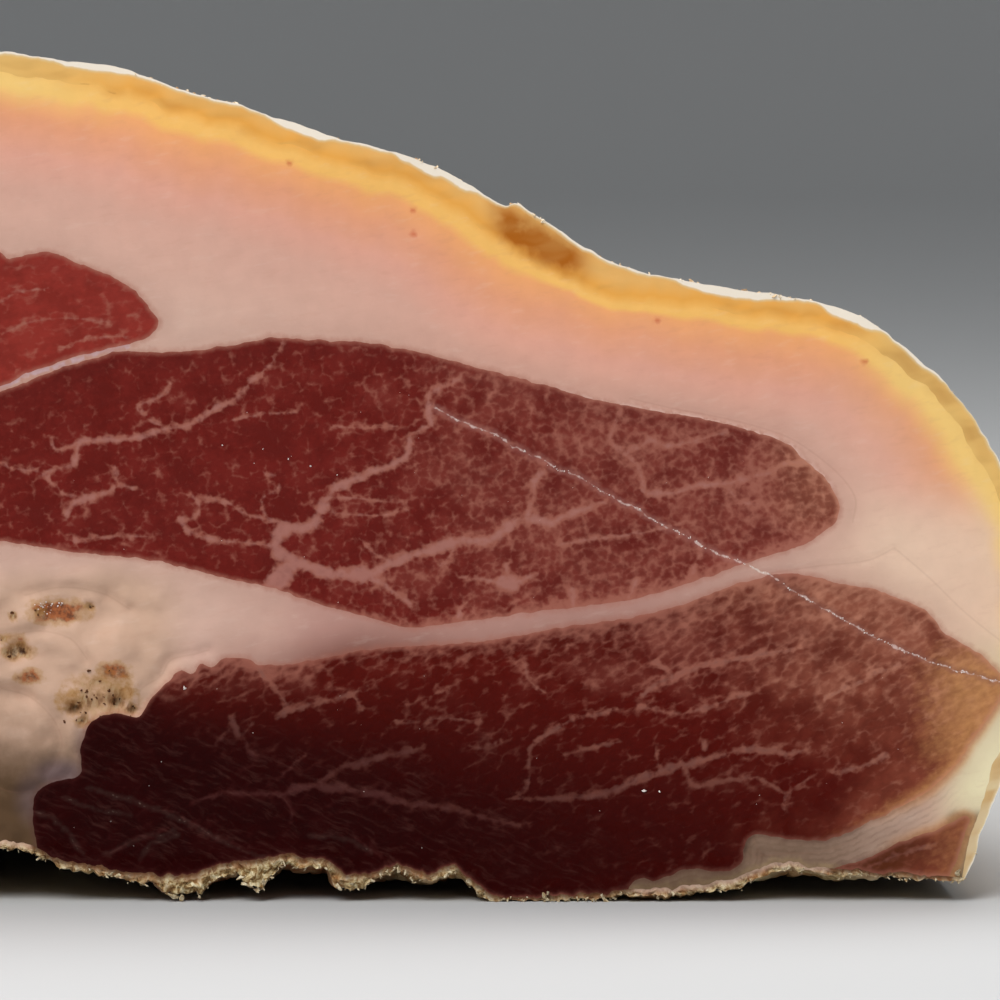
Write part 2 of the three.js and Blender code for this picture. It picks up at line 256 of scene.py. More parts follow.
# The pale crack across the face, creases in the fat, and pale streaks in the dark meat.
CRACK = ((430, 406), (471, 425), (498, 436), (512, 446), (542, 460), (562, 471), (578, 476), (600, 490),
         (619, 501), (638, 510), (660, 524), (682, 534), (700, 545), (718, 554), (740, 562), (759, 571),
         (777, 579), (795, 593), (825, 609), (870, 635), (920, 658), (960, 672), (1004, 683))
CREASES = (
    ((630, 398), (677, 409), (704, 414), (745, 423), (790, 438), (823, 460), (846, 482), (856, 500),
     (853, 522)),
    ((772, 573), (820, 566), (870, 560), (895, 548)),
    ((895, 548), (930, 578), (965, 612), (1000, 640), (1018, 652)),
    ((139, 718), (139, 692), (160, 677), (169, 662), (195, 655), (208, 651)),
    ((752, 834), (757, 848), (766, 858), (785, 856), (820, 855), (860, 842)),
    ((747, 838), (750, 853), (762, 863)),
    ((24, 596), (60, 588), (100, 594), (128, 610)),
    ((0, 690), (30, 700), (52, 722), (60, 748), (44, 775)),
    ((76, 752), (66, 776), (44, 790), (10, 794), (-20, 780)),
    ((0, 640), (36, 632), (70, 640), (86, 660)),
)
HAIRS = (
    ((86, 790), (140, 806), (186, 826), (222, 845), (262, 861)),
    ((104, 858), (133, 843), (171, 835)),
    ((138, 862), (152, 847), (176, 838)),
    ((34, 813), (52, 822), (66, 836), (80, 856)),
    ((310, 838), (346, 842), (371, 855)),
    ((60, 800), (96, 812), (128, 818)),
)
DEEP_CREASES = (3, 5, 6, 7, 8, 9)
DEEP_CREASE, FINE_CREASE = (0.45, 0.8), (0.10, 0.25)  # depth and width
CRACK_DEEP, CRACK_WIDE = 0.12, 0.28
SILVERSKIN = ((-30, 396), (0, 388), (24, 376), (60, 365), (90, 355), (128, 346))

# Stains in the pale fat, and in SHADED patches of painted shadow by the lower muscle's left end: middle,
# half width and half height in pixels, and strength.
TRUFFLE_STAINS = ((15, 653, 18, 8, 1.0), (98, 700, 38, 27, 0.55), (72, 710, 9, 6, 1.0),
                  (116, 702, 9, 6, 1.0), (130, 711, 7, 6, 0.9), (82, 723, 8, 4, 0.9), (12, 617, 5, 4, 0.8),
                  (89, 607, 5, 4, 0.9), (39, 613, 6, 4, 0.7), (-60, 640, 22, 12, 0.8), (0, 640, 8, 5, 0.7))
RUST_STAINS = ((57, 612, 30, 13, 0.9), (28, 678, 14, 8, 0.8), (113, 673, 17, 12, 0.8),
               (68, 700, 14, 14, 0.5), (12, 640, 14, 8, 0.5), (125, 690, 12, 14, 0.5))
# Painted shadow in the fat by the lower muscle's left end.
SHADED = ((60, 776, 30, 16, 1.0), (32, 800, 18, 26, 0.7), (84, 746, 12, 28, 0.6))
SPOTS = ((290, 163), (413, 210), (414, 234), (657, 320), (865, 361))
BLOTCHES = ((33, 76, 14, 4, 0.3), (116, 93, 13, 5, 0.35), (146, 91, 14, 6, 0.4), (176, 108, 12, 6, 0.35),
            (249, 131, 12, 6, 0.3), (784, 312, 14, 6, 0.3), (841, 326, 14, 6, 0.3), (892, 350, 13, 7, 0.3),
            (935, 388, 11, 8, 0.3), (984, 452, 9, 12, 0.35), (428, 176, 30, 6, 0.35),
            (380, 163, 24, 6, 0.3))
BURN = ((478, 208), (512, 228), (546, 247), (592, 266))  # a deep amber streak under the rind
# Small things on the cut face: pixel, pixel, size in millimetres. Frays are where the rind's skin is torn.
BIG_CRYSTALS = ((184, 689, 0.55), (645, 793, 0.5), (660, 794, 0.25), (288, 459, 0.22), (310, 466, 0.25),
                (337, 475, 0.2), (222, 445, 0.18), (263, 449, 0.2))
HANGING_CRUMBS = ((545, 899, 1.6), (548, 896, 1.2), (605, 901, 1.3), (246, 888, 1.6), (256, 893, 1.5),
                  (262, 884, 1.2), (240, 880, 1.3), (172, 899, 1.5), (180, 901, 1.2), (337, 889, 1.3),
                  (352, 886, 1.2), (960, 876, 1.6), (964, 883, 1.3), (955, 884, 1.1))
MEAT_BOX = ((20, 390), (980, 870))  # small crystals lie between these two corners
POCKET = ((46, 606), (7, 4))  # the middle and the spread of the crystals in the reddish pocket
FRAYS = (187, 202, 219, 249, 420, 511, 532, 620, 622, 790, 794, 797)

# Where the rind's white outer edge is wider, partly its pale outer skin and partly a painted highlight:
# middle and half width in pixels, and millimetres.
WHITE_RIM_AND_HIGHLIGHT = ((98, 44, 0.6), (302, 34, 0.8), (416, 26, 0.65), (450, 30, 0.65), (733, 62, 0.8),
             (848, 34, 0.9), (920, 40, 0.2))
PITS = ((72, 710, 7, 1.6), (116, 703, 8, 1.5), (131, 711, 5, 1.2), (82, 724, 6, 1.2), (15, 653, 12, 1.3),
        (57, 613, 20, 0.9), (89, 607, 4, 0.7), (12, 617, 4, 0.7))  # middle, radius in pixels, depth

# Parts of the cut face with soft edges, first across and then down. Each edge goes from none at one pixel
# to all at another one. A slanted edge also has the column where that is so, and its slant.
PARTS = {
    "cream": (((240, 110), (-230, -120)), ((540, 610),)),
    "marbled right": (((230, 600),), ()),
    "marbling fades": ((), ((560, 600), (600, 760, 600, 0.12))),
    "marbled tip": (((700, 790),), ((420, 480), (585, 560))),
    "marbled nook": (((140, 180), (350, 260)), ((640, 650), (730, 670))),
    # How dark the meat is: partly the drier meat's own colour, partly painted shade towards the bottom and
    # a painted shadow at the lower left.
    "dark left": (((950, 100),), ()),
    "seen": (((-330, -30),), ()),
    "dark low": ((), ((600, 840, 350, 0.10),)),
    "dark middle": ((), ((580, 720),)),
    "dark nook": (((140, 200), (420, 300)), ((640, 660), (760, 680))),
    "shadow": (((240, 100),), ((700, 770),)),
    "corner": (((800, 830),), ((853, 869, 836, -0.426),)),
    "corner left": (((955, 880),), ((853, 869, 836, -0.426),)),
    "above the band": ((), ((871, 859, 836, -0.426),)),
    "lower half": ((), ((560, 600),)),
    "brown rim": (((560, 900),), ()),
    "brown low": (((600, 900),), ((560, 600),)),
    "brown tip": (((740, 810),), ((560, 500),)),
    "red again": (((970, 800),), ((690, 790),)),
    "toasted right": (((865, 980),), ((600, 680), (810, 745))),
    "toasted edge": (((740, 980),), ((640, 700),)),
    "toasted corner": (((880, 960),), ()),
    "fringed seam": (((200, 460),), ()),
    "fringed left": (((150, 185), (380, 280)), ((640, 650), (760, 759.99))),
    "calm right": (((560, 620),), ((800, 825),)),
    "calm left": (((180, 130),), ((690, 730),)),
    "membrane": (((500, 620),), ((500, 480),)),
    "thin yellow": (((500, 570), (700, 640)), ()),
    "thinner yellow": (((600, 700), (900, 800)), ()),
    "burnt": (((478, 514), (602, 562)), ()),
    "seam": (((170, 330),), ()),
    "seam middle": (((330, 520),), ()),
    "seam right": (((600, 820),), ()),
    "band": (((975, 900),), ()),
    "band left": (((600, 612), (870, 840)), ((826, 836),)),
    # The dim parts set painted shade on the pale fat: at the lower left, in the greyish band's fold and at
    # a small place at the lower right.
    "dim left": (((260, 140), (-300, -40)), ((670, 820, 40, 0.15),)),
    "dim fold": (((600, 640), (970, 800)), ((810, 840),)),
    "fold left": (((760, 730),), ()),
    "dim rim": (((942, 956),), ((806, 822),)),
    "warm": (((860, 950),), ((640, 700),)),
    "rim right": (((850, 900),), ()),
}
FRINGE_TOP, FRINGE_TURN, FRINGE_SLANT = (640, 650), 480, 0.2  # from the turn on the fringe starts higher up

# The same in millimetres, for colours of the fat at the two ends. The glow at the ends is a painted glow of
# back light.
GLOW_LEFT, GLOW_RIGHT, PALER_RIGHT = (0, -20), (88, 98), (82, 96)
BUTTERY = (((76, 98), (60, 44)), ((98, 108), (40, 24)))


def on_face(pixels):
    """Millimetres on the cut face of some pixels of the photograph. Further columns stay as they are."""
    made = np.array(pixels, float)
    made[:, 0] = FACE_LEFT + PIXEL * made[:, 0]
    made[:, 1] = FACE_TOP - PIXEL * made[:, 1]
    return made


def curve(knots, closed=False, steps=10):
    """A smooth line through its knots, with some short steps between each two."""
    knots = np.array(knots, float)
    if closed:
        knots = np.vstack([knots[-1:], knots, knots[:2]])
    else:
        knots = np.vstack([2 * knots[0] - knots[1], knots, 2 * knots[-1] - knots[-2]])
    made = []
    share = np.linspace(0, 1, steps, endpoint=False)[:, None]
    for before, start, end, after in zip(knots, knots[1:], knots[2:], knots[3:]):
        pairs = ((before, start), (start, end), (end, after))
        first, gap, last = (math.sqrt(max(math.dist(a[:2], b[:2]), 1e-6)) for a, b in pairs)
        leave = gap * ((start - before) / first - (end - before) / (first + gap) + (end - start) / gap)
        reach = gap * ((end - start) / gap - (after - start) / (gap + last) + (after - end) / last)
        made.append(start + leave * share + (3 * (end - start) - 2 * leave - reach) * share**2
                    + (2 * (start - end) + leave + reach) * share**3)
    if not closed:
        made.append(knots[-2:-1])
    return np.vstack(made)


def spaced(line, fine, coarse, closed=False):
    """The line again with points a fine step apart where the camera sees it, and a coarse one elsewhere."""
    if closed:
        line = np.vstack([line, line[:1]])
    lengths = np.hypot(*np.diff(line[:, :2], axis=0).T)
    middles = (line[1:, 0] + line[:-1, 0]) / 2
    seen = np.clip((middles - SEEN_LEFT + 8) / 8, 0, 1)
    steps = np.concatenate([[0], np.cumsum(lengths / (coarse + (fine - coarse) * seen))])
    count = max(2, round(steps[-1]))
    at = np.linspace(0, steps[-1], count + 1)
    made = np.stack([np.interp(at, steps, column) for column in line.T], axis=1)
    return made[:-1] if closed else made


def wander(x, z, size, seed, octaves=3):
    """Soft noise, mostly between -0.6 and 0.6, with bumps of a size in millimetres."""
    return np.array([noise.fractal((a, b, seed), 1.0, 2.0, octaves) for a, b in zip(x / size, z / size)])


def wander_3d(points, size, seed, octaves=3):
    shift = (seed, 2.3 * seed, -seed)
    return np.array([noise.fractal(p, 1.0, 2.0, octaves) for p in (points / size + shift).tolist()])


def smoothstep(low, high, value):
    share = np.clip((value - low) / (high - low), 0, 1)
    return share * share * (3 - 2 * share)


def away(x, z, line, closed=False, widths=None):
    """How far points are from a line of points, less half its width."""
    near = np.full(len(x), 99.0)
    ends = np.roll(line, -1, axis=0) if closed else line[1:]
    for i, ((ax, az), (bx, bz)) in enumerate(zip(line, ends)):
        dx, dz = bx - ax, bz - az
        share = np.clip(((x - ax) * dx + (z - az) * dz) / (dx * dx + dz * dz), 0, 1)
        far = np.hypot(x - ax - share * dx, z - az - share * dz)
        near = np.minimum(near, far if widths is None else far - widths[i] / 2)
    return near


def inside(x, z, loop):
    """Which points lie inside a closed loop."""
    odd = np.zeros(len(x), bool)
    for (ax, az), (bx, bz) in zip(loop, np.roll(loop, -1, axis=0)):
        crosses = (az > z) != (bz > z)
        odd ^= crosses & (x < (bx - ax) * (z - az) / (bz - az + 1e-12) + ax)
    return odd


def nearest(x, z, lines, closed=False):
    """How far points are from the nearest of some lines."""
    return np.min([away(x, z, line, closed) for line in lines], axis=0)


def within(x, z, loops):
    """Which points lie inside the first loop and outside the others."""
    keep = inside(x, z, loops[0])
    for hole in loops[1:]:
        keep &= ~inside(x, z, hole)
    return keep


def outward(line, closed=True, reach=1):
    """Unit vectors square to a line, on its right-hand side."""
    if closed:
        along = np.roll(line, -reach, axis=0) - np.roll(line, reach, axis=0)
    else:
        index = np.arange(len(line))
        along = line[np.minimum(index + reach, len(line) - 1)] - line[np.maximum(index - reach, 0)]
    along = along / np.maximum(np.hypot(*along.T), 1e-9)[:, None]
    return np.stack([along[:, 1], -along[:, 0]], axis=1)


def end_shares(count, reach):
    """For each point of an open line 1, but falling to 0 over some points at both its ends."""
    index = np.arange(count)
    return np.clip(np.minimum(index, index[::-1]) / reach, 0, 1)


def ragged(line, closed, seed):
    """A boundary with small irregular swings to both sides. The ends of an open one stay."""
    swing = wander(line[:, 0], line[:, 1], 1.6, seed) * 0.22
    if not closed:
        swing *= end_shares(len(line), 4)
    return line + outward(line, closed) * swing[:, None]


# Lines of the cut face, in millimetres.
low_edge_knots, lard_top_knots = on_face(LOW_EDGE), on_face(LARD_TOP)
flesh_curve = curve(FLESH_LINE)


def flesh(x):
    return np.interp(x, *flesh_curve.T)


def calm_ends(x):
    return smoothstep(*CALM_LEFT, x) * smoothstep(*CALM_RIGHT, x)


across = spaced(curve(lard_top_knots), EDGE_FINE * 0.8, EDGE_COARSE)[:, 0]
dense_x = np.linspace(-120, 120, 2401)
feet = [end[0] for pixels in (LOWER, CORNER) for end in on_face((pixels[0], pixels[-1]))]
clear_of_feet = np.min([smoothstep(*CALM_FOOT, np.abs(dense_x - foot)) for foot in feet], axis=0)
lard_waves = 0.45 * wander(dense_x, 0 * dense_x, 3.0, 8.0) + 0.35 * wander(dense_x, 0 * dense_x, 1.1, 9.0)
dense_top = np.interp(dense_x, *lard_top_knots.T) + lard_waves * clear_of_feet * calm_ends(dense_x)


def lard_top(x):
    return np.interp(x, dense_x, dense_top)


def low_edge(x):
    """The lower edge of the cut face, with the small crumbs of the dried lard."""
    plain = np.interp(x, *low_edge_knots.T)
    crumbs = 0.7 * wander(x, 0 * x, 1.1, 5.0) + 0.9 * wander(x, 0 * x, 3.5, 6.0)
    thick = lard_top(x) - plain
    return np.clip(plain + crumbs * calm_ends(x) * (0.35 + 0.3 * thick), 0.05, lard_top(x) - 0.22)


def skin_fold(x, t):
    swell = sum(high * np.sin(wide * x + along * t) for high, wide, along in SKIN_FOLDS)
    return swell * np.minimum(1, 4 * t) * (1 - t)


def settle(x, z, t, length=DEPTH):
    """Moves points of the cut face back by a share t of the length, along the ham's rounded form."""
    above = (1 - t**BUTT_ROUND) ** (1 / BUTT_BLUNT) * (1 - NARROWING * t)
    below = np.sqrt(1 - np.maximum(0, (t - LIFT_START) / (1 - LIFT_START)) ** LIFT_ROUND)
    high = AXIS_HEIGHT + (z - AXIS_HEIGHT) * above + skin_fold(x, t) * (z - AXIS_HEIGHT) / CROWN_RISE
    fade = np.exp(-t * DEPTH / NOTCH_FADE)
    sag = SAG_HIGH * np.sin(SAG_ACROSS * x + SAG_START) * np.cos(SAG_ALONG * t) - SAG_DOWN
    notch = np.maximum(0, np.interp(x, dense_x, calm_edge) - flesh(x))
    lift = (sag - notch) * (1 - fade) * below
    low = 1 - z / AXIS_HEIGHT
    deep = AXIS_HEIGHT - (AXIS_HEIGHT - z) * below + lift * low**4
    made = np.broadcast_arrays(x * above, FRONT + t * length, np.where(z >= AXIS_HEIGHT, high, deep))
    return np.stack(made, axis=-1)


def smoothed(line, reach=14):
    """An open line without its small bumps. Its ends stay."""
    padded = np.vstack([2 * line[0] - line[reach:0:-1], line, 2 * line[-1] - line[-2 : -reach - 2 : -1]])
    weights = np.hanning(2 * reach + 3)[1:-1]
    return np.stack([np.convolve(column, weights / weights.sum(), "valid") for column in padded.T], axis=1)


def lifted(points, least):
    """The points with none of them lower than some height."""
    points[:, 2] = np.maximum(points[:, 2], least)
    return points


dense_edge = low_edge(dense_x)
calm_edge = smoothed(np.stack([dense_x, dense_edge], axis=1), 30)[:, 1]


def low_edge_of(x):
    return np.interp(x, dense_x, dense_edge)


# The two shells: the rind over the crown, and the dried lard underneath.
lard_outer = np.stack([across, low_edge_of(across)], axis=1)
lard_inner = np.stack([across, lard_top(across)], axis=1)

rind_line = spaced(curve(on_face(RIND)), EDGE_FINE, EDGE_COARSE)
rind_outer = rind_line[:, :2]
skin_in = outward(rind_outer, False, 9)
bumps = 0.22 * wander(*rind_outer.T, 2.4, 11.0)
rind_outer = rind_outer + skin_in * (bumps * end_shares(len(bumps), 12))[:, None]
rind_thick = rind_line[:, 2] * (1 + 0.25 * wander(*rind_outer.T, 5.0, 12.0))
rind_inner = rind_outer + skin_in * rind_thick[:, None]
rind_outer[0], rind_outer[-1] = lard_outer[0], lard_outer[-1]
rind_inner[0], rind_inner[-1] = lard_inner[0], lard_inner[-1]


def standing(pixels, seed):
    """An open muscle's outline, and the stretch of the dried lard's line between its feet."""
    line = curve(on_face(pixels))
    left, right = (int(np.abs(across - x).argmin()) for x in (line[0, 0], line[-1, 0]))
    line[0], line[-1] = lard_inner[left], lard_inner[right]
    return ragged(spaced(line, EDGE_FINE, EDGE_COARSE), False, seed), left, right


def lying(pixels, seed):
    return ragged(spaced(curve(on_face(pixels), True), EDGE_FINE, EDGE_COARSE, True), True, seed)


top, middle = lying(TOP, 21.0), lying(MIDDLE, 22.0)
open_muscles = [standing(pixels, seed) for pixels, seed in ((FAR, 23.0), (LOWER, 24.0), (CORNER, 25.0))]


def closed_loop(arch, left, right):
    """A standing muscle as a closed loop: over its arch, then back along the dried lard."""
    return np.vstack([arch, lard_inner[left + 1 : right][::-1]])


far, lower, corner = (closed_loop(*muscle) for muscle in open_muscles)
muscles = (top, middle, lower, corner, far)


def fat_loop():
    """The fat's outline: along the rind, then back along the dried lard and over the standing muscles."""
    parts = [rind_inner]
    end = len(across) - 1
    for arch, left, right in open_muscles[::-1]:
        parts.append(lard_inner[right + 1 : end][::-1])
        parts.append(arch[::-1])
        end = left
    parts.append(lard_inner[1:end][::-1])
    return np.vstack(parts)


fat_outline = fat_loop()
crack = spaced(curve(on_face(CRACK)), 0.3, 0.3)
crack[:, 1] += 0.28 * wander(*crack.T, 1.3, 31.0)
creases = [spaced(curve(on_face(line)), 0.4, 0.4) for line in CREASES]


class Face:
    """Points of the cut face, in millimetres and in pixels. Lean is how deep they lie in the meat. It is
    negative in the fat."""

    def __init__(self, x, z, lean):
        self.x, self.z, self.lean = x, z, lean
        self.px, self.py = (x - FACE_LEFT) / PIXEL, (FACE_TOP - z) / PIXEL

    def part(self, name):
        """How far inside one of the PARTS the points are, from 0 to 1."""
        across, down = PARTS[name]
        share = np.ones(len(self.x))
        for zero, one in across:
            share = share * smoothstep(zero, one, self.px)
        for zero, one, *turn in down:
            pivot, slant = turn or (0, 0)
            share = share * smoothstep(zero, one, self.py + slant * (pivot - self.px))
        return share

    def away(self, line, closed=False):
        return away(self.x, self.z, line, closed)

    def inner(self, low, high):
        return smoothstep(low, high, self.lean)

    def swayed(self, high, size, seed):
        """The points moved about a little, so that thin lines don't look drawn."""
        return (self.x + high * wander(self.x, self.z, size, seed),
                self.z + high * wander(self.x, self.z, size, seed + 1))

    def stains(self, spots):
        """How strongly each point lies in some patches, from 0 to 1: stains, spots and patches of painted
        shadow.
        """
        made = np.zeros(len(self.x))
        for x, z, wide, high, strength in on_face(spots):
            far_out = np.hypot((self.x - x) / (wide * PIXEL), (self.z - z) / (high * PIXEL))
            made = np.maximum(made, strength * smoothstep(1.5, 0.3, far_out))
        return made


def relief(face, low):
    """How far the cut face stands out, in millimetres."""
    x, z = face.x, face.z
    out = 0.5 * wander(x, z, 26.0, 41.0, 2) + 0.05 * wander(x, z, 5.0, 42.0)
    out -= 0.25 * face.inner(0.0, 2.5) + 0.05 * wander(x, z, 1.6, 43.0) * face.inner(0.2, 1.0)
    soft = face.part("cream") * face.inner(0.0, -1.5)
    out += soft * (1.3 * wander(x, z, 7.0, 44.0, 2) + 0.25 * wander(x, z, 2.6, 45.0))
    for pit_x, pit_z, radius, deep in on_face(PITS):
        near = smoothstep(1.4, 0.2, np.hypot(x - pit_x, z - pit_z) / (radius * PIXEL))
        out -= deep * near * face.inner(0, -0.8)
    out -= CRACK_DEEP * np.exp(-((face.away(crack) / CRACK_WIDE) ** 2))
    for i, line in enumerate(creases):
        deep, wide = DEEP_CREASE if i in DEEP_CREASES else FINE_CREASE
        out -= deep * np.exp(-((face.away(line) / wide) ** 2)) * face.inner(0.0, -0.4)
    crust = smoothstep(0.0, 1.0, -low)
    ridges = 0.5 - np.abs(wander(x, 2.2 * z, 1.5, 46.0))
    out += crust * (0.9 * ridges + 0.5 * wander(x, z, 0.8, 48.0) + 0.7 * wander(x, z, 3.4, 47.0))
    return out


def on_surface(face, low=None):
    """Points on the surface of the cut face. Low is how high they lie above the dried lard."""
    out = relief(face, face.z - lard_top(face.x) if low is None else low)
    return np.stack([face.x, FRONT - out, face.z], axis=1)


def vein_field(face, veins):
    """Distance to the nearest vein's edge, negative inside it."""
    x, z = face.swayed(0.34, 1.7, 51.0)
    near = []
    for start, end, *pixels in veins:
        line = curve(on_face(pixels), steps=5)
        widths = np.linspace(start, end, len(line)) * (0.95 + 1.1 * wander(*line.T, 1.6, 53.0))
        near.append(away(x, z, line, widths=widths))
    return np.min(near, axis=0)


def hairs(face):
    """How far points are from the thin pale streaks at the lower left."""
    return nearest(*face.swayed(0.3, 2.0, 54.0), [curve(on_face(line), steps=4) for line in HAIRS])


def marbling(face):
    """Where the muscles are finely marbled: towards the right, and along the seam between the big ones."""
    right = face.part("marbled right") * (1 - face.part("marbling fades"))
    small = 0.35 * face.part("marbled tip") + 0.7 * face.part("marbled nook")
    return np.clip(0.10 + 0.80 * right + small, 0, 1.2)


def darkness_and_shade(face):
    """How dark the meat is: darkest along the lower left. This is partly the drier meat's own colour and
    partly painted shade, darker towards the bottom, with a painted shadow at the lower left.
    """
    left, seen = face.part("dark left"), 0.45 + 0.55 * face.part("seen")
    made = face.part("dark low") * (0.50 + 0.42 * left) * seen
    made += 0.16 * face.part("dark middle") * left + 0.2 * face.part("shadow") * seen
    return np.clip((made - 0.1 * face.part("dark nook")) * (1 - 0.45 * face.part("corner")), 0, 1)


def brownness(face):
    """How brown the meat is: towards its edges on the right."""
    rim = face.inner(7.0, 0.0) * face.part("brown rim")
    made = rim * (0.15 + 0.35 * face.part("lower half")) + 0.72 * face.part("brown low")
    made = made * (1 - 0.65 * face.part("red again")) + 0.65 * face.part("brown tip")
    return np.clip(made * (1 - 0.8 * face.part("corner left")), 0, 1)


def toasted(face):
    """Where the meat turns orange-brown: just inside its edge at the lower right."""
    above_band = face.part("above the band")
    edge = face.inner(3.4, -0.5) * face.part("toasted edge")
    small = 0.5 * face.part("toasted corner") * (1 - above_band)
    return np.maximum(np.maximum(0.85 * face.part("toasted right"), edge) * above_band, small)


def fringe(face):
    """Where fat reaches into the meat from its edge: furthest from the seam between the two big muscles."""
    other = np.maximum(face.away(middle[::3], True), face.away(lower[::3], True))
    seam = smoothstep(8.5, 4.5, other) * face.part("fringed seam")
    below = smoothstep(*FRINGE_TOP, face.py + FRINGE_SLANT * np.maximum(0, face.px - FRINGE_TURN))
    edge = np.maximum(0.8 * face.inner(0.4, -0.1), 0.95 * face.part("fringed left") * face.inner(3.2, 0.0))
    edge = edge * (1 - 0.9 * face.part("calm right")) * (1 - 0.9 * face.part("calm left"))
    return np.maximum(np.maximum(face.inner(1.9, 0.0), 0.5 * face.inner(6.5, 0.5) * below) * seam, edge)


def membrane(face):
    """Where a thin white skin shows along the top of the middle muscle."""
    return face.inner(-0.55, -0.15) * face.inner(0.25, 0.0) * face.part("membrane")


def under_rind(face):
    """Depth under the rind. It counts faster where the yellow fat is thin."""
    deep = face.away(rind_inner[::3])
    faster = 1.5 * face.part("thin yellow") + 0.8 * face.part("thinner yellow")
    return deep + smoothstep(0, 2.5, deep) * faster


def burnt(face):
    """How deeply amber the streak under the rind is: it fades towards both its ends."""
    near = face.away(curve(on_face(BURN))) + 0.5 * wander(face.x, face.z, 1.6, 61.0)
    return smoothstep(3.4, 0.5, near) * face.part("burnt")


def between(face, one, other, wide, narrow):
    """Where the fat is a narrow gap between two muscles."""
    return smoothstep(wide, narrow, face.away(one[::3], True) + face.away(other[::3], True))


# The narrow fat between the two big muscles is darkened with painted shade.
def seam_fat(face):
    return between(face, middle, lower, 17, 5.0) * face.part("seam") * (1 - 0.7 * face.part("seam right"))


def shade_near_lower(face):
    """How much darker the seam's fat gets near the lower muscle: painted shade."""
    near = np.clip(1 - face.away(lower[::3], True) / 6.0, 0, 1)
    return near**1.5 * (1 - 0.65 * face.part("seam middle"))


def grey_band(face):
    """Where the fat is the greyish band under the lower muscle, at the right."""
    return np.maximum(between(face, lower, corner, 15, 9) * face.part("band"), face.part("band left"))


def painted_fat_shade(face):
    """How much darker the pale fat gets towards the lower left and in the fold of the greyish band: painted
    shade.
    """
    fold = face.part("dim fold") * (0.62 + 0.1 * face.part("fold left"))
    return np.maximum(np.maximum(face.part("dim left"), fold), 0.7 * face.part("dim rim"))


def fill(loops, lines, fine, coarse):
    """Points on a jittered triangular grid, inside the first loop, outside the others, off the lines."""
    (left, low), (right, high) = loops[0].min(axis=0), loops[0].max(axis=0)
    made = []
    for step, start, stop in ((fine, max(left, SEEN_LEFT), right), (coarse, left, min(right, SEEN_LEFT))):
        if stop <= start:
            continue
        x, z = np.meshgrid(np.arange(start, stop, step), np.arange(low, high, step * ROW_SHARE))
        x[1::2] += step / 2
        x, z = x.ravel(), z.ravel()
        x = x + dice.uniform(-JITTER, JITTER, len(x)) * step
        z = z + dice.uniform(-JITTER, JITTER, len(z)) * step
        keep = within(x, z, loops)
        x, z = x[keep], z[keep]
        keep = np.minimum(nearest(x, z, loops, True), nearest(x, z, lines)) > 0.55 * step
        made.append(np.stack([x[keep], z[keep]], axis=1))
    return np.vstack(made)


def kept_inside(line, loops, clear):
    """The points of a line that lie inside the first loop, outside the others, and clear of them all."""
    return line[within(*line.T, loops) & (nearest(*line.T, loops, True) > clear)]


def triangles(points, loops):
    """Delaunay triangles of the points inside the first loop of indices and outside the others."""
    made = delaunay_2d_cdt([Vector(p) for p in points.tolist()], [], loops, 2, 1e-7)
    old = [ids[0] for ids in made[3]]
    return [[old[i] for i in face] for face in made[2]]


def link(name, data):
    """A new object in the scene."""
    made = bpy.data.objects.new(name, data)
    bpy.context.scene.collection.objects.link(made)
    return made


def piece(name, points, faces, uvs, materials, nodes, slot, fields=None, which=None):
    """A closed mesh that stands for some CAD nodes, from points in millimetres and a UV pair a corner."""
    mesh = bpy.data.meshes.new(name)
    mesh.from_pydata((np.asarray(points) * MM).tolist(), [], faces)
    for key, values in (fields or {}).items():
        mesh.attributes.new(key, "FLOAT", "POINT").data.foreach_set("value", np.asarray(values, np.float32))
    if uvs is not None:
        mesh.uv_layers.new(name="OFBake").data.foreach_set("uv", np.asarray(uvs, np.float32).ravel())
    for material in materials:
        mesh.materials.append(material)
    if which is not None:
        mesh.polygons.foreach_set("material_index", which)
    work = bmesh.new()
    work.from_mesh(mesh)
    bmesh.ops.recalc_face_normals(work, faces=work.faces)
    work.to_mesh(mesh)
    work.free()
    mesh.shade_smooth()
    mesh.set_sharp_from_angle(angle=math.radians(SHARP_ANGLE))
    made = link(name, mesh)
    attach(made, "root")
    if nodes:
        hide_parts(*nodes)


def face_fields(face, veins=()):
    """What the shaders of the cut face need to know at each point."""
    x, z = face.x, face.z
    seam = seam_fat(face)
    made = {
        "lean": face.lean,
        "deep": under_rind(face),
        "low": z - lard_top(x),
        "cream": face.part("cream"),
        "truffle": face.stains(TRUFFLE_STAINS),
        "rust": face.stains(RUST_STAINS),
        # painted shadow by the lower muscle's left end
        "shade": face.stains(SHADED),
        "spot": face.stains([(px, py, 3, 3, 1) for px, py in SPOTS]),
        "blotch": np.maximum(0.4 * face.stains(BLOTCHES), burnt(face)),
        "crack": face.away(crack),
        "crease": nearest(x, z, creases),
        "membrane": membrane(face),
        "silver": face.away(curve(on_face(SILVERSKIN))),
        "marble": marbling(face),
        "dark": darkness_and_shade(face),
        "brown": brownness(face),
        "toasted": toasted(face),
        "fringe": fringe(face),
        # seam and through are painted shade on the fat between the big muscles, darkest near the lower one
        "seam": seam,
        "through": seam * shade_near_lower(face),
        "band": grey_band(face),
        # a painted glow of back light in the yellow fat at the two ends
        "glow": smoothstep(*GLOW_LEFT, x) + smoothstep(*GLOW_RIGHT, x),
        "butter": sum(smoothstep(*across, x) * smoothstep(*down, z) for across, down in BUTTERY),
        "paler": 0.15 * smoothstep(*PALER_RIGHT, x),
        "dim": painted_fat_shade(face),
        "warm": face.inner(-1.5, 0.0) * face.part("warm"),
        "layer": face.away(lower[::2], True),
    }
    if veins:
        made["vein"] = vein_field(face, veins)
        made["hair"] = hairs(face)
    return made


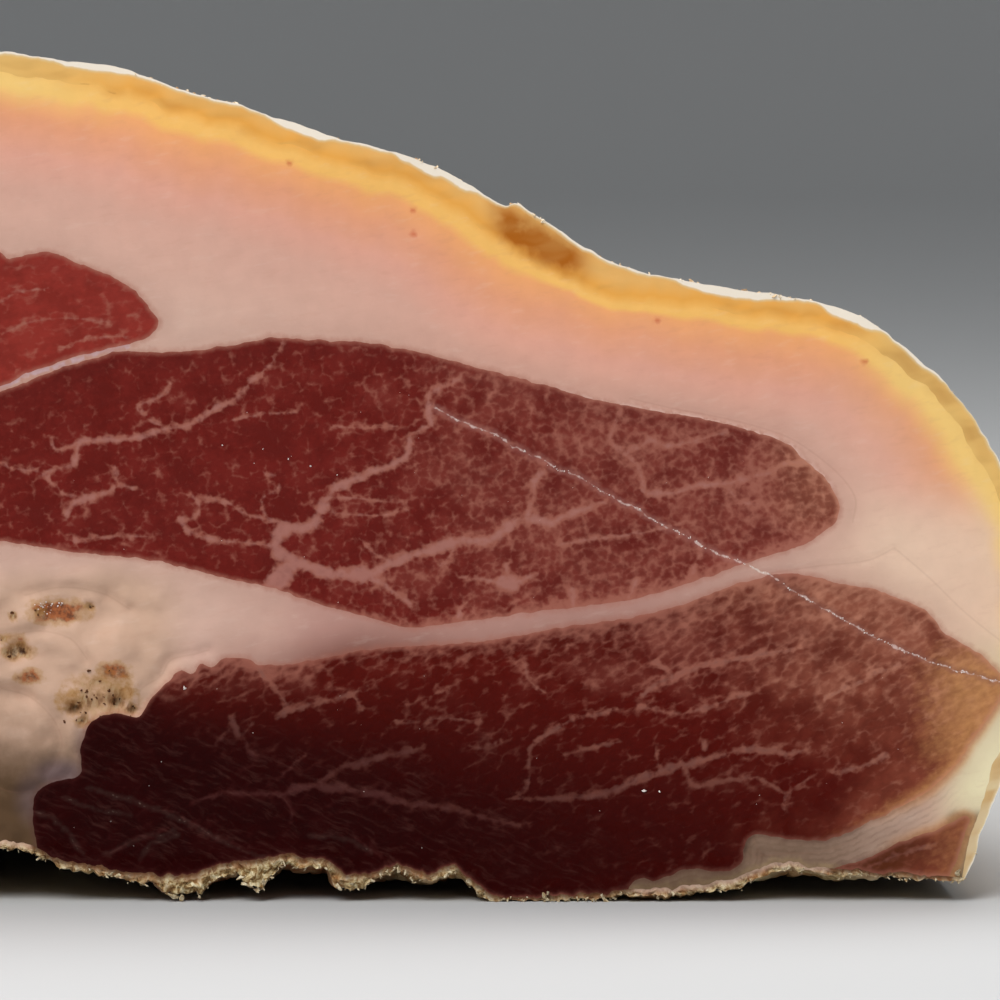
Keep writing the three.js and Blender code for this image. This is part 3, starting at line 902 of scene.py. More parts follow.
class Slab:
    """A closed body: a finely meshed front on the cut face, walls that run back from its loops, caps."""

    def __init__(self, loops, lines, fine, coarse, lean_of):
        extra = [kept_inside(line, loops, 0.5 * fine) for line in lines]
        self.flat = np.vstack([*loops, *extra, fill(loops, lines, fine, coarse)])
        starts = np.cumsum([0] + [len(loop) for loop in loops]).tolist()
        self.loops = [list(range(start, stop)) for start, stop in zip(starts, starts[1:])]
        self.faces = triangles(self.flat, self.loops)
        self.face = Face(*self.flat.T, lean_of(*self.flat.T))
        self.points = [on_surface(self.face)]
        low, high = self.flat.min(axis=0), self.flat.max(axis=0)
        self.unit = (self.flat - low) / (high - low)
        self.uvs = self.patch([i for face in self.faces for i in face], *UV_FRONT)
        self.wall_low = 0.0

    def patch(self, corners, start, high):
        """The places of some corners in a strip of the UV map, as they lie on the cut face."""
        return [(UV_EDGE + UV_WIDE * self.unit[i, 0], start + high * self.unit[i, 1]) for i in corners]

    def run_back(self, loop_number, rows, wall_high):
        """Adds a wall from a loop back through rows of points, and closes it with a cap."""
        loop = self.loops[loop_number]
        count = len(loop)
        before = np.array(loop)
        total = sum(len(part) for part in self.points)
        for k, row in enumerate(rows):
            now = total + np.arange(count)
            self.points.append(row)
            total += count
            v0 = self.wall_low + wall_high * k / len(rows)
            v1 = self.wall_low + wall_high * (k + 1) / len(rows)
            for i in range(count):
                j = (i + 1) % count
                self.faces.append([int(before[i]), int(before[j]), int(now[j]), int(now[i])])
                u0, u1 = UV_EDGE + UV_WIDE * i / count, UV_EDGE + UV_WIDE * (i + 1) / count
                self.uvs += [(u0, v0), (u1, v0), (u1, v1), (u0, v1)]
            before = now
        self.wall_low += wall_high + UV_GAP
        for face in triangles(self.flat[loop], [list(range(count))]):
            self.faces.append([int(before[i]) for i in face])
            self.uvs += self.patch([loop[i] for i in face], self.wall_low, wall_high)
        self.wall_low += wall_high + UV_GAP

    def finish(self, name, material, node, slot, veins=()):
        """Makes the piece. The fields go on over the walls with the middle values of the front."""
        points = np.vstack(self.points)
        rest = len(points) - len(self.flat)
        fields = {key: np.concatenate([values, np.full(rest, np.median(values))])
                  for key, values in face_fields(self.face, veins).items()}
        piece(name, points, self.faces, self.uvs, [material], [node], slot, fields)


def clearance(depth):
    """How many millimetres a wall draws in behind the cut face, so that nothing reaches through a skin."""
    return 0.5 * smoothstep(1, 12, depth)


def square_out(loop):
    """Unit vectors square to a closed loop that point out of it."""
    area = np.sum(loop[:, 0] * np.roll(loop[:, 1], -1) - np.roll(loop[:, 0], -1) * loop[:, 1])
    return outward(loop, True) * (1 if area > 0 else -1)


def muscle_rows(loop, inset):
    """Rows of a muscle's wall: it runs back through the fat and narrows to a blunt end, as in the CAD."""
    centre = (loop.max(axis=0) + loop.min(axis=0)) / 2
    rows = []
    for depth in MUSCLE_RINGS:
        keep = math.sqrt(1 - PINCH * (depth / MUSCLE_DEPTH) ** 5)
        x, z = (centre + (loop - square_out(loop) * (inset + clearance(depth)) - centre) * keep).T
        rows.append(lifted(settle(x, z, depth / DEPTH), MUSCLE_LIFT))
    return rows


def fat_rows(loop):
    """Rows of the fat's wall, which ends under the skin of the butt end."""
    rows = []
    for depth in FAT_RINGS:
        x, z = (loop - square_out(loop) * (0.2 + clearance(depth))).T
        rows.append(lifted(settle(x, z, depth / INNER_LENGTH, INNER_LENGTH), FAT_LIFT))
    return rows


def muscle(name, loop, veins, material, slot):
    vein_lines = [spaced(curve(on_face(pixels), steps=6), 0.35, 0.35) for _, _, *pixels in veins]
    slab = Slab([loop], [*vein_lines, crack], LEAN_FINE, LEAN_COARSE, lambda x, z: away(x, z, loop, True))
    slab.run_back(0, muscle_rows(loop, 0.15), 0.14)
    slab.finish(name + "_meat", material, name, slot, veins)


def fat_body():
    spots = [on_face([(px - 1, py), (px + 1, py)]) for px, py in SPOTS]
    slab = Slab([fat_outline, top, middle], [crack, *creases, *spots], FAT_FINE, FAT_COARSE, lean_outside)
    slab.run_back(0, fat_rows(fat_outline), 0.05)
    slab.run_back(1, muscle_rows(top, -0.1), 0.04)
    slab.run_back(2, muscle_rows(middle, -0.1), 0.04)
    slab.finish("fat", fat_material, "fat_and_rind", "fat")


def ring_shares():
    """Shares of the depth for the shells' rings: close together at the cut, even over the butt end."""
    t = np.sin(np.linspace(0, math.pi / 2, 4001))
    profile = settle(np.zeros(len(t)), np.full(len(t), PROFILE_HEIGHT), t)
    along = np.concatenate([[0], np.cumsum(np.linalg.norm(np.diff(profile, axis=0), axis=1))])
    weight = 1 / np.minimum(0.45 + 0.06 * along, 2.6)
    steps = np.concatenate([[0], np.cumsum((weight[1:] + weight[:-1]) / 2 * np.diff(along))])
    return np.interp(np.linspace(0, steps[-1], RINGS + 1), steps, t)[:-1]


shares = ring_shares()
depths = shares * DEPTH
inner_shares = shares[::INNER_STEP][1:]


def outside_rows(outer, plain, square_in, wrinkle, draw_in):
    """The outside of a shell, as rows of points from the cut to the butt end."""
    rows = []
    for t, depth in zip(shares, depths):
        uneven = math.exp(-depth / BUMP_LENGTH)
        pulled = outer * uneven + plain * (1 - uneven)
        pulled += square_in * (draw_in * (1 - math.exp(-depth / DROP_LENGTH)))
        rows.append(settle(pulled[:, 0], pulled[:, 1], t))
    grid = np.array(rows)
    side = np.cross(np.gradient(grid, axis=0), np.gradient(grid, axis=1))
    side /= np.maximum(np.linalg.norm(side, axis=2), 1e-9)[..., None]
    calm = end_shares(len(outer), CALM_POINTS)[None, :] * (1 - np.exp(-depths / 2.5))[:, None]
    calm[-1] *= 0.3
    grid += side * (calm * wrinkle(grid.reshape(-1, 3)).reshape(calm.shape))[..., None]
    grid[..., 2] = np.maximum(grid[..., 2], FLOOR_GAP)
    return grid


def cut_band(outer, inner, band_rows, fields_of):
    """The band of a shell that shows on the cut face: its rows of points, and their fields."""
    share = np.repeat(np.arange(band_rows + 1) / band_rows, len(outer))
    flat = np.vstack([outer + (inner - outer) * (k / band_rows) for k in range(band_rows + 1)])
    x, z = flat.T
    face = Face(x, z, lean_outside(x, z))
    fields = face_fields(face)
    if fields_of:
        fields.update(fields_of(face, share))
    front = on_surface(face, fields["low"])
    return front.reshape(band_rows + 1, len(outer), 3), fields


def shell(name, outer, inner, band_rows, wrinkle, materials, fields_of, draw_in):
    """A closed skin: its outside runs from the butt end to the cut, its band shows on the cut face, and its
    inside runs back again."""
    count = len(outer)
    plain = smoothed(outer)
    square_in = outward(plain, False, 5) * end_shares(count, CALM_POINTS)[:, None]
    grid = outside_rows(outer, plain, square_in, wrinkle, draw_in)
    front, fields = cut_band(outer, inner, band_rows, fields_of)
    grid += (front[0] - grid[0])[None] * np.exp(-depths / 1.5)[:, None, None]
    grid[:-1, :, 2] = np.maximum(grid[:-1, :, 2], FLOOR_GAP)
    x, z = (inner + square_in * (draw_in + 0.4)).T
    inner_rows = [lifted(settle(x, z, t, INNER_LENGTH), INNER_LIFT) for t in inner_shares]
    rows = np.concatenate([grid[::-1], front[1:], np.array(inner_rows)])
    poles = [(0.0, FRONT + DEPTH, AXIS_HEIGHT), (0.0, FRONT + INNER_LENGTH, AXIS_HEIGHT)]
    points = np.vstack([rows.reshape(-1, 3), *poles])
    faces, uvs, which = shell_faces(count, band_rows, len(rows))
    made = {}
    for key, values in fields.items():
        made[key] = np.full(len(points), float(np.median(values)))
        made[key][OUTER_ROWS * count : (OUTER_ROWS + band_rows + 1) * count] = values
    piece(name, points, faces, uvs, materials, ["fat_and_rind"], "fat", made, which)


def shell_faces(count, band_rows, row_count):
    """A shell's faces, their corners' places in the UV map, and which of two materials each has."""
    pole_out, pole_in = row_count * count, row_count * count + 1
    band_end = OUTER_ROWS + band_rows
    inner_count = row_count - 1 - band_end
    rows = (np.arange(RINGS) / OUTER_ROWS, *(np.arange(1, n + 1) / n for n in (band_rows, inner_count)))
    v = np.concatenate([start + high * row for (start, high), row in zip(SHELL_UV_ROWS, rows)])
    u = SHELL_UV_EDGE + SHELL_UV_WIDE * np.arange(count) / (count - 1)
    faces, uvs, which = [], [], []
    for r in range(row_count - 1):
        for i in range(count - 1):
            a = r * count + i
            faces.append([a, a + 1, a + count + 1, a + count])
            uvs += [(u[i], v[r]), (u[i + 1], v[r]), (u[i + 1], v[r + 1]), (u[i], v[r + 1])]
            which.append(1 if OUTER_ROWS <= r < band_end else 0)
    last = (row_count - 1) * count
    for i in range(count - 1):
        between_points = (u[i] + u[i + 1]) / 2
        faces.append([pole_out, i + 1, i])
        uvs += [(between_points, POLE_V[0]), (u[i + 1], v[0]), (u[i], v[0])]
        faces.append([pole_in, last + i, last + i + 1])
        uvs += [(between_points, POLE_V[1]), (u[i], v[-1]), (u[i + 1], v[-1])]
        which += [0, 0]
    poles = {"out": pole_out, "in": pole_in}
    for column, (edge, far_edge) in zip((0, count - 1), SHELL_UV_ENDS):
        for ring in end_faces(v, edge, far_edge, band_end, inner_count):
            if column:
                ring = ring[::-1]
            faces.append([poles[r] if r in poles else r * count + column for r, _ in ring])
            uvs += [place for _, place in ring]
            which.append(0)
    return faces, uvs, which


def end_faces(v, edge, far_edge, band_end, inner_count):
    """The faces that close a shell along one of its long edges: the row and the UV place of each corner."""
    made = []
    for j in range(inner_count + 1):
        near = [OUTER_ROWS - r for r in range(INNER_STEP * j, min(INNER_STEP * (j + 1), OUTER_ROWS) + 1)]
        ring = [(r, (edge, v[r])) for r in near]
        if j == inner_count:
            ring += [("out", (edge, END_POLE_V)), ("in", (far_edge, END_POLE_V))]
        else:
            ring.append((band_end + j + 1, (far_edge, v[near[-1]])))
        ring.append((band_end + j, (far_edge, v[near[0]])))
        if j == 0:
            band = range(band_end - 1, OUTER_ROWS, -1)
            step = (edge - far_edge) / (len(band) + 1)
            ring += [(r, (far_edge + step * (k + 1), v[OUTER_ROWS] + 0.002)) for k, r in enumerate(band)]
        made.append(ring)
    return made


class Shader:
    """Builds the nodes of a material. Its textures are measured in millimetres on the object, or on the cut
    face. Wherever a value goes in, the name of one of the mesh's fields may stand for it."""

    def __init__(self, name, flat=False, roughness=0.4, gloss=0.12):
        self.material = bpy.data.materials.new(name)
        self.material.use_nodes = True
        self.tree = self.material.node_tree
        self.surface = self.tree.nodes["Principled BSDF"]
        self.surface.inputs["Roughness"].default_value = roughness
        self.surface.inputs["Specular IOR Level"].default_value = gloss
        self.sizes = "2D" if flat else "3D"
        place = self.make("TexCoord").outputs["Object"]
        self.place = self.scaled(place, 1 / MM)
        if flat:
            parts = self.make("SeparateXYZ", Vector=self.place).outputs
            self.place = self.make("CombineXYZ", X=parts["X"], Y=parts["Z"]).outputs[0]

    def make(self, kind, settings=None, **inputs):
        made = self.tree.nodes.new("ShaderNode" + kind)
        for key, value in (settings or {}).items():
            setattr(made, key, value)
        for key, value in inputs.items():
            self.feed(made.inputs[key.replace("_", " ")], value)
        return made

    def feed(self, socket, value):
        if isinstance(value, str):
            value = self.make("Attribute", dict(attribute_name=value)).outputs["Fac"]
        if isinstance(value, bpy.types.NodeSocket):
            self.tree.links.new(value, socket)
        elif value is not None:
            socket.default_value = value

    def joined(self, kind, settings, *values):
        """A node of some kind with values for its first inputs."""
        made = self.make(kind, settings)
        for socket, value in zip(made.inputs, values):
            self.feed(socket, value)
        return made.outputs[0]

    def times(self, a, b, clamp=False):
        return self.joined("Math", dict(operation="MULTIPLY", use_clamp=clamp), a, b)

    def plus(self, value, other, times):
        return self.joined("Math", dict(operation="MULTIPLY_ADD"), other, times, value)

    def sway(self, value, wave, high):
        """A value moved up and down by a noise."""
        return self.plus(value, self.plus(-high / 2, wave, high), 1.0)

    def range(self, value, low, high, start=0.0, end=1.0):
        """A smooth change from start to end as the value goes from low to high."""
        return self.make("MapRange", dict(interpolation_type="SMOOTHSTEP"), Value=value,
                         From_Min=low, From_Max=high, To_Min=start, To_Max=end).outputs[0]

    def mix(self, colour, paint, share, low=None, high=None, most=1.0):
        """The colour mixed with a paint: by a share, or by up to the most as it goes from low to high."""
        if low is not None:
            share = self.range(share, low, high, 0.0, most)
        made = self.make("Mix", dict(data_type="RGBA"), Factor=share)
        self.feed(made.inputs[6], colour)
        self.feed(made.inputs[7], paint)
        return made.outputs[2]

    def ramp(self, value, *stops):
        made = self.make("ValToRGB", None, Fac=value)
        ramp = made.color_ramp
        while len(ramp.elements) < len(stops):
            ramp.elements.new(0.5)
        for element, (spot, colour) in zip(ramp.elements, stops):
            element.position = spot
            element.color = colour
        return made.outputs["Color"]

    def scaled(self, vector, scale):
        return self.make("VectorMath", dict(operation="SCALE"), Vector=vector, Scale=scale).outputs[0]

    def shade(self, colour, wave, low, high):
        """The colour times a grey that goes from low to high with a noise."""
        return self.scaled(colour, self.range(wave, 0.25, 0.75, low, high))

    def swayed(self, size, high):
        """The place moved about by a noise of some size, by up to half of some millimetres."""
        wave = self.make("TexNoise", dict(noise_dimensions=self.sizes), Vector=self.place,
                         Scale=1 / size, Detail=2.0)
        return self.joined("VectorMath", dict(operation="MULTIPLY_ADD"), wave.outputs["Color"],
                           (high,) * 3, self.place)

    def turned(self, place, turn, scale):
        """A place turned on the cut face by some degrees, and then scaled."""
        return self.make("Mapping", dict(vector_type="TEXTURE"), Vector=place,
                         Rotation=(0, 0, math.radians(turn)), Scale=scale).outputs[0]

    def noise(self, size, detail=3.0, place=None, rough=0.5):
        return self.make("TexNoise", dict(noise_dimensions=self.sizes), Vector=place or self.place,
                         Scale=1 / size, Detail=detail, Roughness=rough).outputs["Fac"]

    def cells(self, size, place=None, feature="DISTANCE_TO_EDGE"):
        return self.make("TexVoronoi", dict(feature=feature, voronoi_dimensions=self.sizes),
                         Vector=place or self.place, Scale=1 / size).outputs["Distance"]

    def finish(self, colour, height, strength, distance, roughness=None):
        """Sets the surface's colour, its bumps in millimetres, and where it isn't even its roughness."""
        self.feed(self.surface.inputs["Base Color"], colour)
        self.feed(self.surface.inputs["Roughness"], roughness)
        bump = self.make("Bump", None, Height=height, Strength=strength, Distance=distance * MM)
        self.feed(self.surface.inputs["Normal"], bump.outputs[0])
        return self.material


def rgb(red, green, blue):
    """A colour given as a screen shows it, from 0 to 255."""
    channels = [c / 255 for c in (red, green, blue)]
    return tuple(c / 12.92 if c <= 0.04045 else ((c + 0.055) / 1.055) ** 2.4 for c in channels) + (1.0,)


# Rind and fat.
# The rind's pale outer edge at the cut: partly its pale skin, partly a painted highlight.
WHITE_SKIN_AND_HIGHLIGHT = rgb(250, 238, 220)
RIM_CREAM = rgb(232, 206, 160)
RIND_TAN = rgb(214, 164, 94)
RIND_GLOW = rgb(208, 158, 88)
AMBER = rgb(241, 184, 106)
BURNT_AMBER = rgb(243, 173, 80)
DEEP_AMBER = rgb(178, 100, 24)
YELLOW = rgb(253, 195, 108)
LIGHT_YELLOW = rgb(254, 214, 132)
ORANGE = rgb(247, 172, 114)
SALMON = rgb(236, 164, 127)
PINK_FAT = rgb(230, 168, 147)
PALE_FAT = rgb(221, 171, 153)
INNER_FAT = rgb(218, 180, 163)
# The next two colours darken the fat between the big muscles with painted shade.
SEAM_FAT = rgb(198, 150, 139)
SEAM_SHADE_FAT = rgb(130, 82, 72)
EDGE_FAT = rgb(178, 134, 120)
BAND_FAT = rgb(188, 156, 138)
WARM_FAT = rgb(206, 148, 96)
FAT_IN_SHADE = rgb(96, 72, 50)
CREAM_FAT = rgb(210, 173, 149)
RIGHT_FAT = rgb(240, 206, 180)
BUTTER_FAT = rgb(244, 231, 190)
SHADED_FAT = rgb(108, 88, 88)
STREAK_PALE = rgb(250, 232, 216)
STREAK_PINK = rgb(190, 130, 110)
BAND_LINES = rgb(120, 92, 76)
BAND_LARD = rgb(216, 188, 142)
CREASE_SHADE_BROWN = rgb(150, 104, 84)
FAT_SPOT = rgb(208, 100, 66)
SILVER = rgb(206, 180, 188)
CRACK_PALE = rgb(236, 220, 208)
MEMBRANE = rgb(228, 188, 174)
RIM_PINK = rgb(170, 104, 86)
RIM_BAND = rgb(132, 84, 56)
RIM_IN_SHADE = rgb(96, 62, 54)
TRUFFLE = rgb(64, 36, 22)
TRUFFLE_LIGHT = rgb(118, 74, 44)
OLIVE = rgb(162, 122, 78)
OLIVE_GREY = rgb(192, 168, 134)
OLIVE_DARK = rgb(112, 70, 40)
STAIN_AMBER = rgb(180, 132, 66)
RUST = rgb(170, 92, 50)
RUST_DARK = rgb(96, 44, 26)

# Meat.
TOP_RED = rgb(138, 47, 39)
LEAN_RED = rgb(107, 31, 26)
LOWER_RED = rgb(90, 20, 14)
CORNER_BROWN = rgb(98, 50, 30)
# The dark colours of the meat stand for its drier parts and also for painted shade, mixed in by the dark
# field.
LEAN_DARK = rgb(39, 3, 3)
LEAN_BROWN = rgb(126, 62, 46)
TOASTED = rgb(206, 148, 94)
MARBLE = rgb(170, 106, 90)
MARBLE_BROWN = rgb(200, 137, 112)
MARBLE_DARK = rgb(62, 22, 20)
VEIN = rgb(174, 118, 108)
VEIN_MAUVE = rgb(140, 92, 82)
VEIN_DARK = rgb(80, 42, 40)
CRACK_WHITE = rgb(226, 198, 190)
HAIR_PALE = rgb(156, 130, 118)

# The outside, the dried lard, the small grains and the floor.
SKIN_RAMP = ((0.32, rgb(196, 140, 76)), (0.46, rgb(212, 161, 96)), (0.58, rgb(223, 178, 116)),
             (0.72, rgb(232, 194, 138)))
SKIN_CREASE_SHADE = rgb(150, 98, 50)
SKIN_BLOOM = rgb(238, 222, 192)
SKIN_PORE = rgb(120, 72, 34)
CRUST_RAMP = ((0.30, rgb(84, 54, 30)), (0.43, rgb(150, 118, 74)), (0.55, rgb(208, 186, 140)),
              (0.70, rgb(246, 236, 202)))
CRUST_TAN = rgb(164, 108, 62)
CRUST_BROWN = rgb(132, 70, 44)
CRUST_PALE = rgb(236, 214, 180)
CRUST_INNER = rgb(96, 58, 40)
CRYSTAL_DARK, CRYSTAL_LIGHT = rgb(222, 206, 200), rgb(250, 240, 234)
CRUMB_DARK, CRUMB_LIGHT = rgb(150, 118, 70), rgb(244, 232, 200)
FLAKE_DARK, FLAKE_LIGHT = rgb(206, 172, 122), rgb(246, 236, 214)
FLOOR_GREY = rgb(196, 197, 197)


# By depth under the rind: partly the fat's own colour, partly a painted glow of back light in the amber,
# yellow and orange near the rind.
FAT_RAMP = ((0.0, AMBER), (0.08, AMBER), (0.128, BURNT_AMBER), (0.170, YELLOW), (0.192, YELLOW),
            (0.222, ORANGE), (0.30, SALMON), (0.40, PINK_FAT), (0.50, PALE_FAT), (0.80, INNER_FAT))


def fat_colour(s):
    """The colour of the fat at the cut: by depth under the rind, with cream, stained and greyish places.
    Near the rind it is partly a painted glow of back light, and between the two big muscles it is darkened
    with painted shade, most near the lower one.
    """
    broad, fine = s.noise(15.0), s.noise(2.6)
    deep = s.sway(s.sway("deep", broad, 1.6), fine, 0.3)
    share = s.joined("Math", dict(operation="ADD"), deep, 6.0)
    share = s.joined("Math", dict(operation="DIVIDE", use_clamp=True), share, 40.0)
    colour = s.ramp(share, *FAT_RAMP)
    # Painted glow of back light: the yellow under the rind is lighter at the two ends.
    glow = s.times("glow", s.range(share, 0.28, 0.18))
    colour = s.mix(colour, LIGHT_YELLOW, s.times(glow, 0.75))
    colour = s.mix(colour, RIGHT_FAT, s.times("paler", s.range(share, 0.19, 0.33)))
    inner = s.range(share, 0.15, 0.24)
    colour = s.mix(colour, RIGHT_FAT, s.times(s.range("butter", 0.0, 1.0, 0.0, 0.9), inner))
    colour = s.mix(colour, BUTTER_FAT, "butter", 1.0, 2.0)
    colour = s.mix(colour, DEEP_AMBER, s.times("blotch", s.range(fine, 0.2, 0.6, 0.7, 1.15), True))
    # Painted shade on the fat between the big muscles, darkest near the lower one.
    colour = s.mix(colour, SEAM_FAT, s.times("seam", 0.95))
    colour = s.mix(colour, EDGE_FAT, "lean", -4.5, -0.5, 0.25)
    colour = s.mix(colour, SEAM_SHADE_FAT, s.times("through", 0.95))
    colour = s.mix(colour, BAND_FAT, "band")
    colour = s.mix(colour, CREAM_FAT, s.sway("cream", broad, 0.5), 0.1, 0.9)
    return s.shade(colour, fine, 0.98, 1.02), fine


def greyish_band(s, colour, rough, dim):
    """Fine lines along the greyish band, the lard in its lower side, and the painted shade towards the
    lower left and in the band's fold.
    """
    layers = s.joined("Math", dict(operation="SINE"), s.times(s.sway("layer", rough, 0.7), 8.0))
    lines = s.times(s.range(layers, -0.2, 1.0), s.range(s.noise(2.2, 2.0), 0.35, 0.65, 0.08, 0.30))
    colour = s.mix(colour, BAND_LINES, s.times("band", lines))
    lard = s.times("band", s.range(s.sway("low", rough, 1.0), 1.0, 0.1))
    colour = s.mix(colour, BAND_LARD, s.times(lard, 0.65))
    # Painted shade towards the lower left and in the band's fold.
    return s.mix(colour, FAT_IN_SHADE, dim, 0.0, 1.0)


def stained(s, field, rough, speck, high, fine):
    """A stain with ragged edges, that ends where its field does."""
    return s.times(s.sway(s.sway(field, rough, high), speck, fine), s.range(field, 0.0, 0.15))


def make_fat():
    s = Shader("cut_fat", True, roughness=0.42)
    colour, fine = fat_colour(s)
    rough, speck = s.noise(1.5, rough=0.6), s.noise(0.7, rough=0.6)
    dim = s.sway("dim", rough, 0.15)
    streaks = s.noise(1.1, 3.0, s.turned(s.place, 10, (3.5, 1.0, 1.0)), 0.6)
    colour = s.mix(colour, STREAK_PALE, streaks, 0.56, 0.80, 0.07)
    colour = s.mix(colour, STREAK_PINK, streaks, 0.44, 0.25, 0.08)
    colour = greyish_band(s, colour, rough, dim)
    # Creases in the fat: painted shade along them, with a brownish line of the fat's own.
    colour = s.mix(colour, CREASE_SHADE_BROWN, "crease", 0.22, 0.0, 0.12)
    colour = s.mix(colour, WARM_FAT, s.times("warm", 0.85))
    rust = stained(s, "rust", rough, speck, 1.2, 0.3)
    colour = s.mix(colour, STAIN_AMBER, rust, 0.0, 0.5, 0.5)
    colour = s.mix(colour, s.ramp(speck, (0.35, RUST_DARK), (0.6, RUST)), rust, 0.4, 0.9, 0.9)
    # Painted shadow by the lower muscle's left end.
    colour = s.mix(colour, SHADED_FAT, s.times("shade", 0.9))
    colour = s.mix(colour, FAT_SPOT, s.times("spot", 0.7))
    truffle = stained(s, "truffle", rough, speck, 1.1, 0.35)
    colour = s.mix(colour, STAIN_AMBER, truffle, 0.0, 0.55, 0.5)
    upright = s.noise(0.7, 3.0, s.turned(s.place, 75, (3.0, 1.0, 1.0)), 0.6)
    olive = s.ramp(upright, (0.36, OLIVE_DARK), (0.48, OLIVE), (0.62, OLIVE_GREY))
    colour = s.mix(colour, olive, truffle, 0.3, 0.85, 0.75)
    colour = s.mix(colour, TRUFFLE, truffle, 0.8, 1.25)
    colour = s.mix(colour, SILVER, s.sway("silver", rough, 0.4), 0.5, 0.15, 0.8)
    colour = s.mix(colour, CRACK_PALE, s.sway("crack", speck, 0.5), 0.18, 0.02, 0.7)
    edge = s.sway(s.sway("lean", speck, 0.5), rough, 0.6)
    # The pink rim round the meat darkens with the same painted shade.
    rim = s.mix(s.mix(RIM_PINK, RIM_BAND, "band"), RIM_IN_SHADE, dim, 0.1, 0.5)
    colour = s.mix(colour, rim, edge, -0.9, 0.2, 0.5)
    skin = s.times("membrane", s.range(rough, 0.35, 0.6))
    colour = s.mix(colour, MEMBRANE, s.times(skin, 0.7))
    return s.finish(colour, s.sway(fine, streaks, 0.6), 0.5, 0.08, s.range(fine, 0.3, 0.7, 0.36, 0.52))


def make_rind_cut():
    """The rind at the cut: a pale outer skin, then amber with tan clouds, darker towards its inner edge.
    Its pale outer edge is partly a painted highlight, and towards its ends the amber carries a painted glow
    of back light.
    """
    s = Shader("cut_rind", True)
    colour, fine = fat_colour(s)
    along = s.noise(2.6, 2.0, s.turned(s.swayed(6.0, 1.5), 10, (4.0, 1.0, 1.0)), 0.45)
    colour = s.mix(colour, RIND_TAN, along, 0.46, 0.76, 0.3)
    # A painted glow of back light through the rind at its two ends.
    colour = s.mix(colour, RIND_GLOW, s.times("glow", s.range(along, 0.3, 0.7, 0.3, 0.6)))
    inner = s.times(s.range("deep", -1.9, -0.9), s.range("deep", 0.1, -0.9))
    colour = s.mix(colour, DEEP_AMBER, s.times(inner, s.range(along, 0.40, 0.70, 0.0, 0.12)))
    # The cream and white outer edge: partly the rind's pale skin, partly a painted highlight.
    rim = s.sway(s.sway("edge", s.noise(4.0), 0.5), fine, 0.3)
    colour = s.mix(colour, RIM_CREAM, rim, 0.45, 0.0, 0.8)
    colour = s.mix(colour, WHITE_SKIN_AND_HIGHLIGHT, rim, 0.12, -0.12)
    return s.finish(colour, s.sway(fine, along, 0.5), 0.35, 0.12)


def hair_streaks(s, colour, grain, dark):
    """Thin pale streaks across dark meat."""
    streaks = s.noise(0.8, 4.0, s.turned(s.swayed(5.0, 2.0), -24, (5.0, 1.0, 1.0)), 0.7)
    streaks = s.times(s.range(streaks, 0.48, 0.80), s.range(dark, 0.6, 1.0))
    colour = s.mix(colour, VEIN_MAUVE, s.times(streaks, 0.11))
    hair = s.sway(s.sway("hair", grain, 0.5), s.noise(1.6), 0.6)
    colour = s.mix(colour, HAIR_PALE, hair, 0.6, -0.1, 0.05)
    return s.mix(colour, HAIR_PALE, hair, 0.02, -0.18, 0.5)


def make_lean(name, red, vein_colour, turn, stretch, strength, gloss, hairy=False):
    """Cured meat at the cut. Its fat is a soft net of some strength round small islands of lean, drawn out
    along the fibres by some stretch. It thickens to veins and to fringes where the fields say so. Hairy
    meat has thin pale streaks across it."""
    s = Shader(name, True, gloss=gloss)
    wave, bundles = s.noise(4.5), s.noise(9.0, 2.0)
    drawn = s.turned(s.swayed(1.6, 1.0), turn, (stretch, 1.0, 1.0))
    grain = s.noise(0.75, 3.0, s.turned(s.place, turn, (stretch, 1.0, 1.0)), 0.55)
    islands, small = s.cells(1.15, drawn, "F1"), s.cells(0.62, drawn, "F1")
    # The dark field: the drier meat's colour, and painted shade towards the bottom with a painted shadow at
    # the lower left.
    dark = s.range(s.plus(s.sway("dark", wave, 0.35), "fringe", -0.45), 0.0, 1.0)
    brown = s.range(s.sway("brown", wave, 0.4), 0.1, 1.0)
    amount = s.sway(s.sway("marble", wave, 0.9), bundles, 0.8)
    marble = s.mix(s.mix(MARBLE, MARBLE_BROWN, brown), MARBLE_DARK, dark)
    veins = s.mix(vein_colour, VEIN_DARK, dark)
    colour = s.mix(s.mix(red, LEAN_DARK, dark), LEAN_BROWN, brown)
    colour = s.shade(colour, s.sway(wave, grain, 0.5), 0.87, 1.14)
    colour = s.mix(colour, marble, amount, 0.2, 1.4, 0.22)

    vein = s.sway("vein", s.noise(1.1, 2.0), 0.55)
    fat = s.plus(s.times(islands, 1.5), small, 0.8)
    near_vein, round_vein = s.range(vein, 0.45, -0.25), s.range(vein, 1.6, 0.2)
    more = ((grain, 1.3), (amount, 0.75), (near_vein, 1.2), (round_vein, 0.2), ("fringe", 0.95))
    for part, weight in more:
        fat = s.plus(fat, part, weight)
    colour = s.mix(colour, marble, fat, 1.8, 3.7, strength)
    colour = s.mix(colour, veins, s.sway(vein, grain, 0.6), 0.15, -0.55, 0.72)
    colour = s.mix(colour, TOASTED, s.sway("toasted", grain, 0.4), 0.2, 1.3)
    colour = s.mix(colour, marble, s.sway("lean", grain, 0.6), 0.75, -0.2, 0.62)
    if hairy:
        colour = hair_streaks(s, colour, grain, dark)
    crack_edge = s.sway(s.sway("crack", grain, 0.5), s.noise(1.1, 2.0), 0.6)
    colour = s.mix(colour, veins, crack_edge, 0.85, 0.10, 0.35)
    colour = s.mix(colour, CRACK_WHITE, crack_edge, 0.14, -0.12, 0.75)
    return s.finish(colour, grain, 0.35, 0.06, s.range(wave, 0.3, 0.7, 0.26, 0.40))


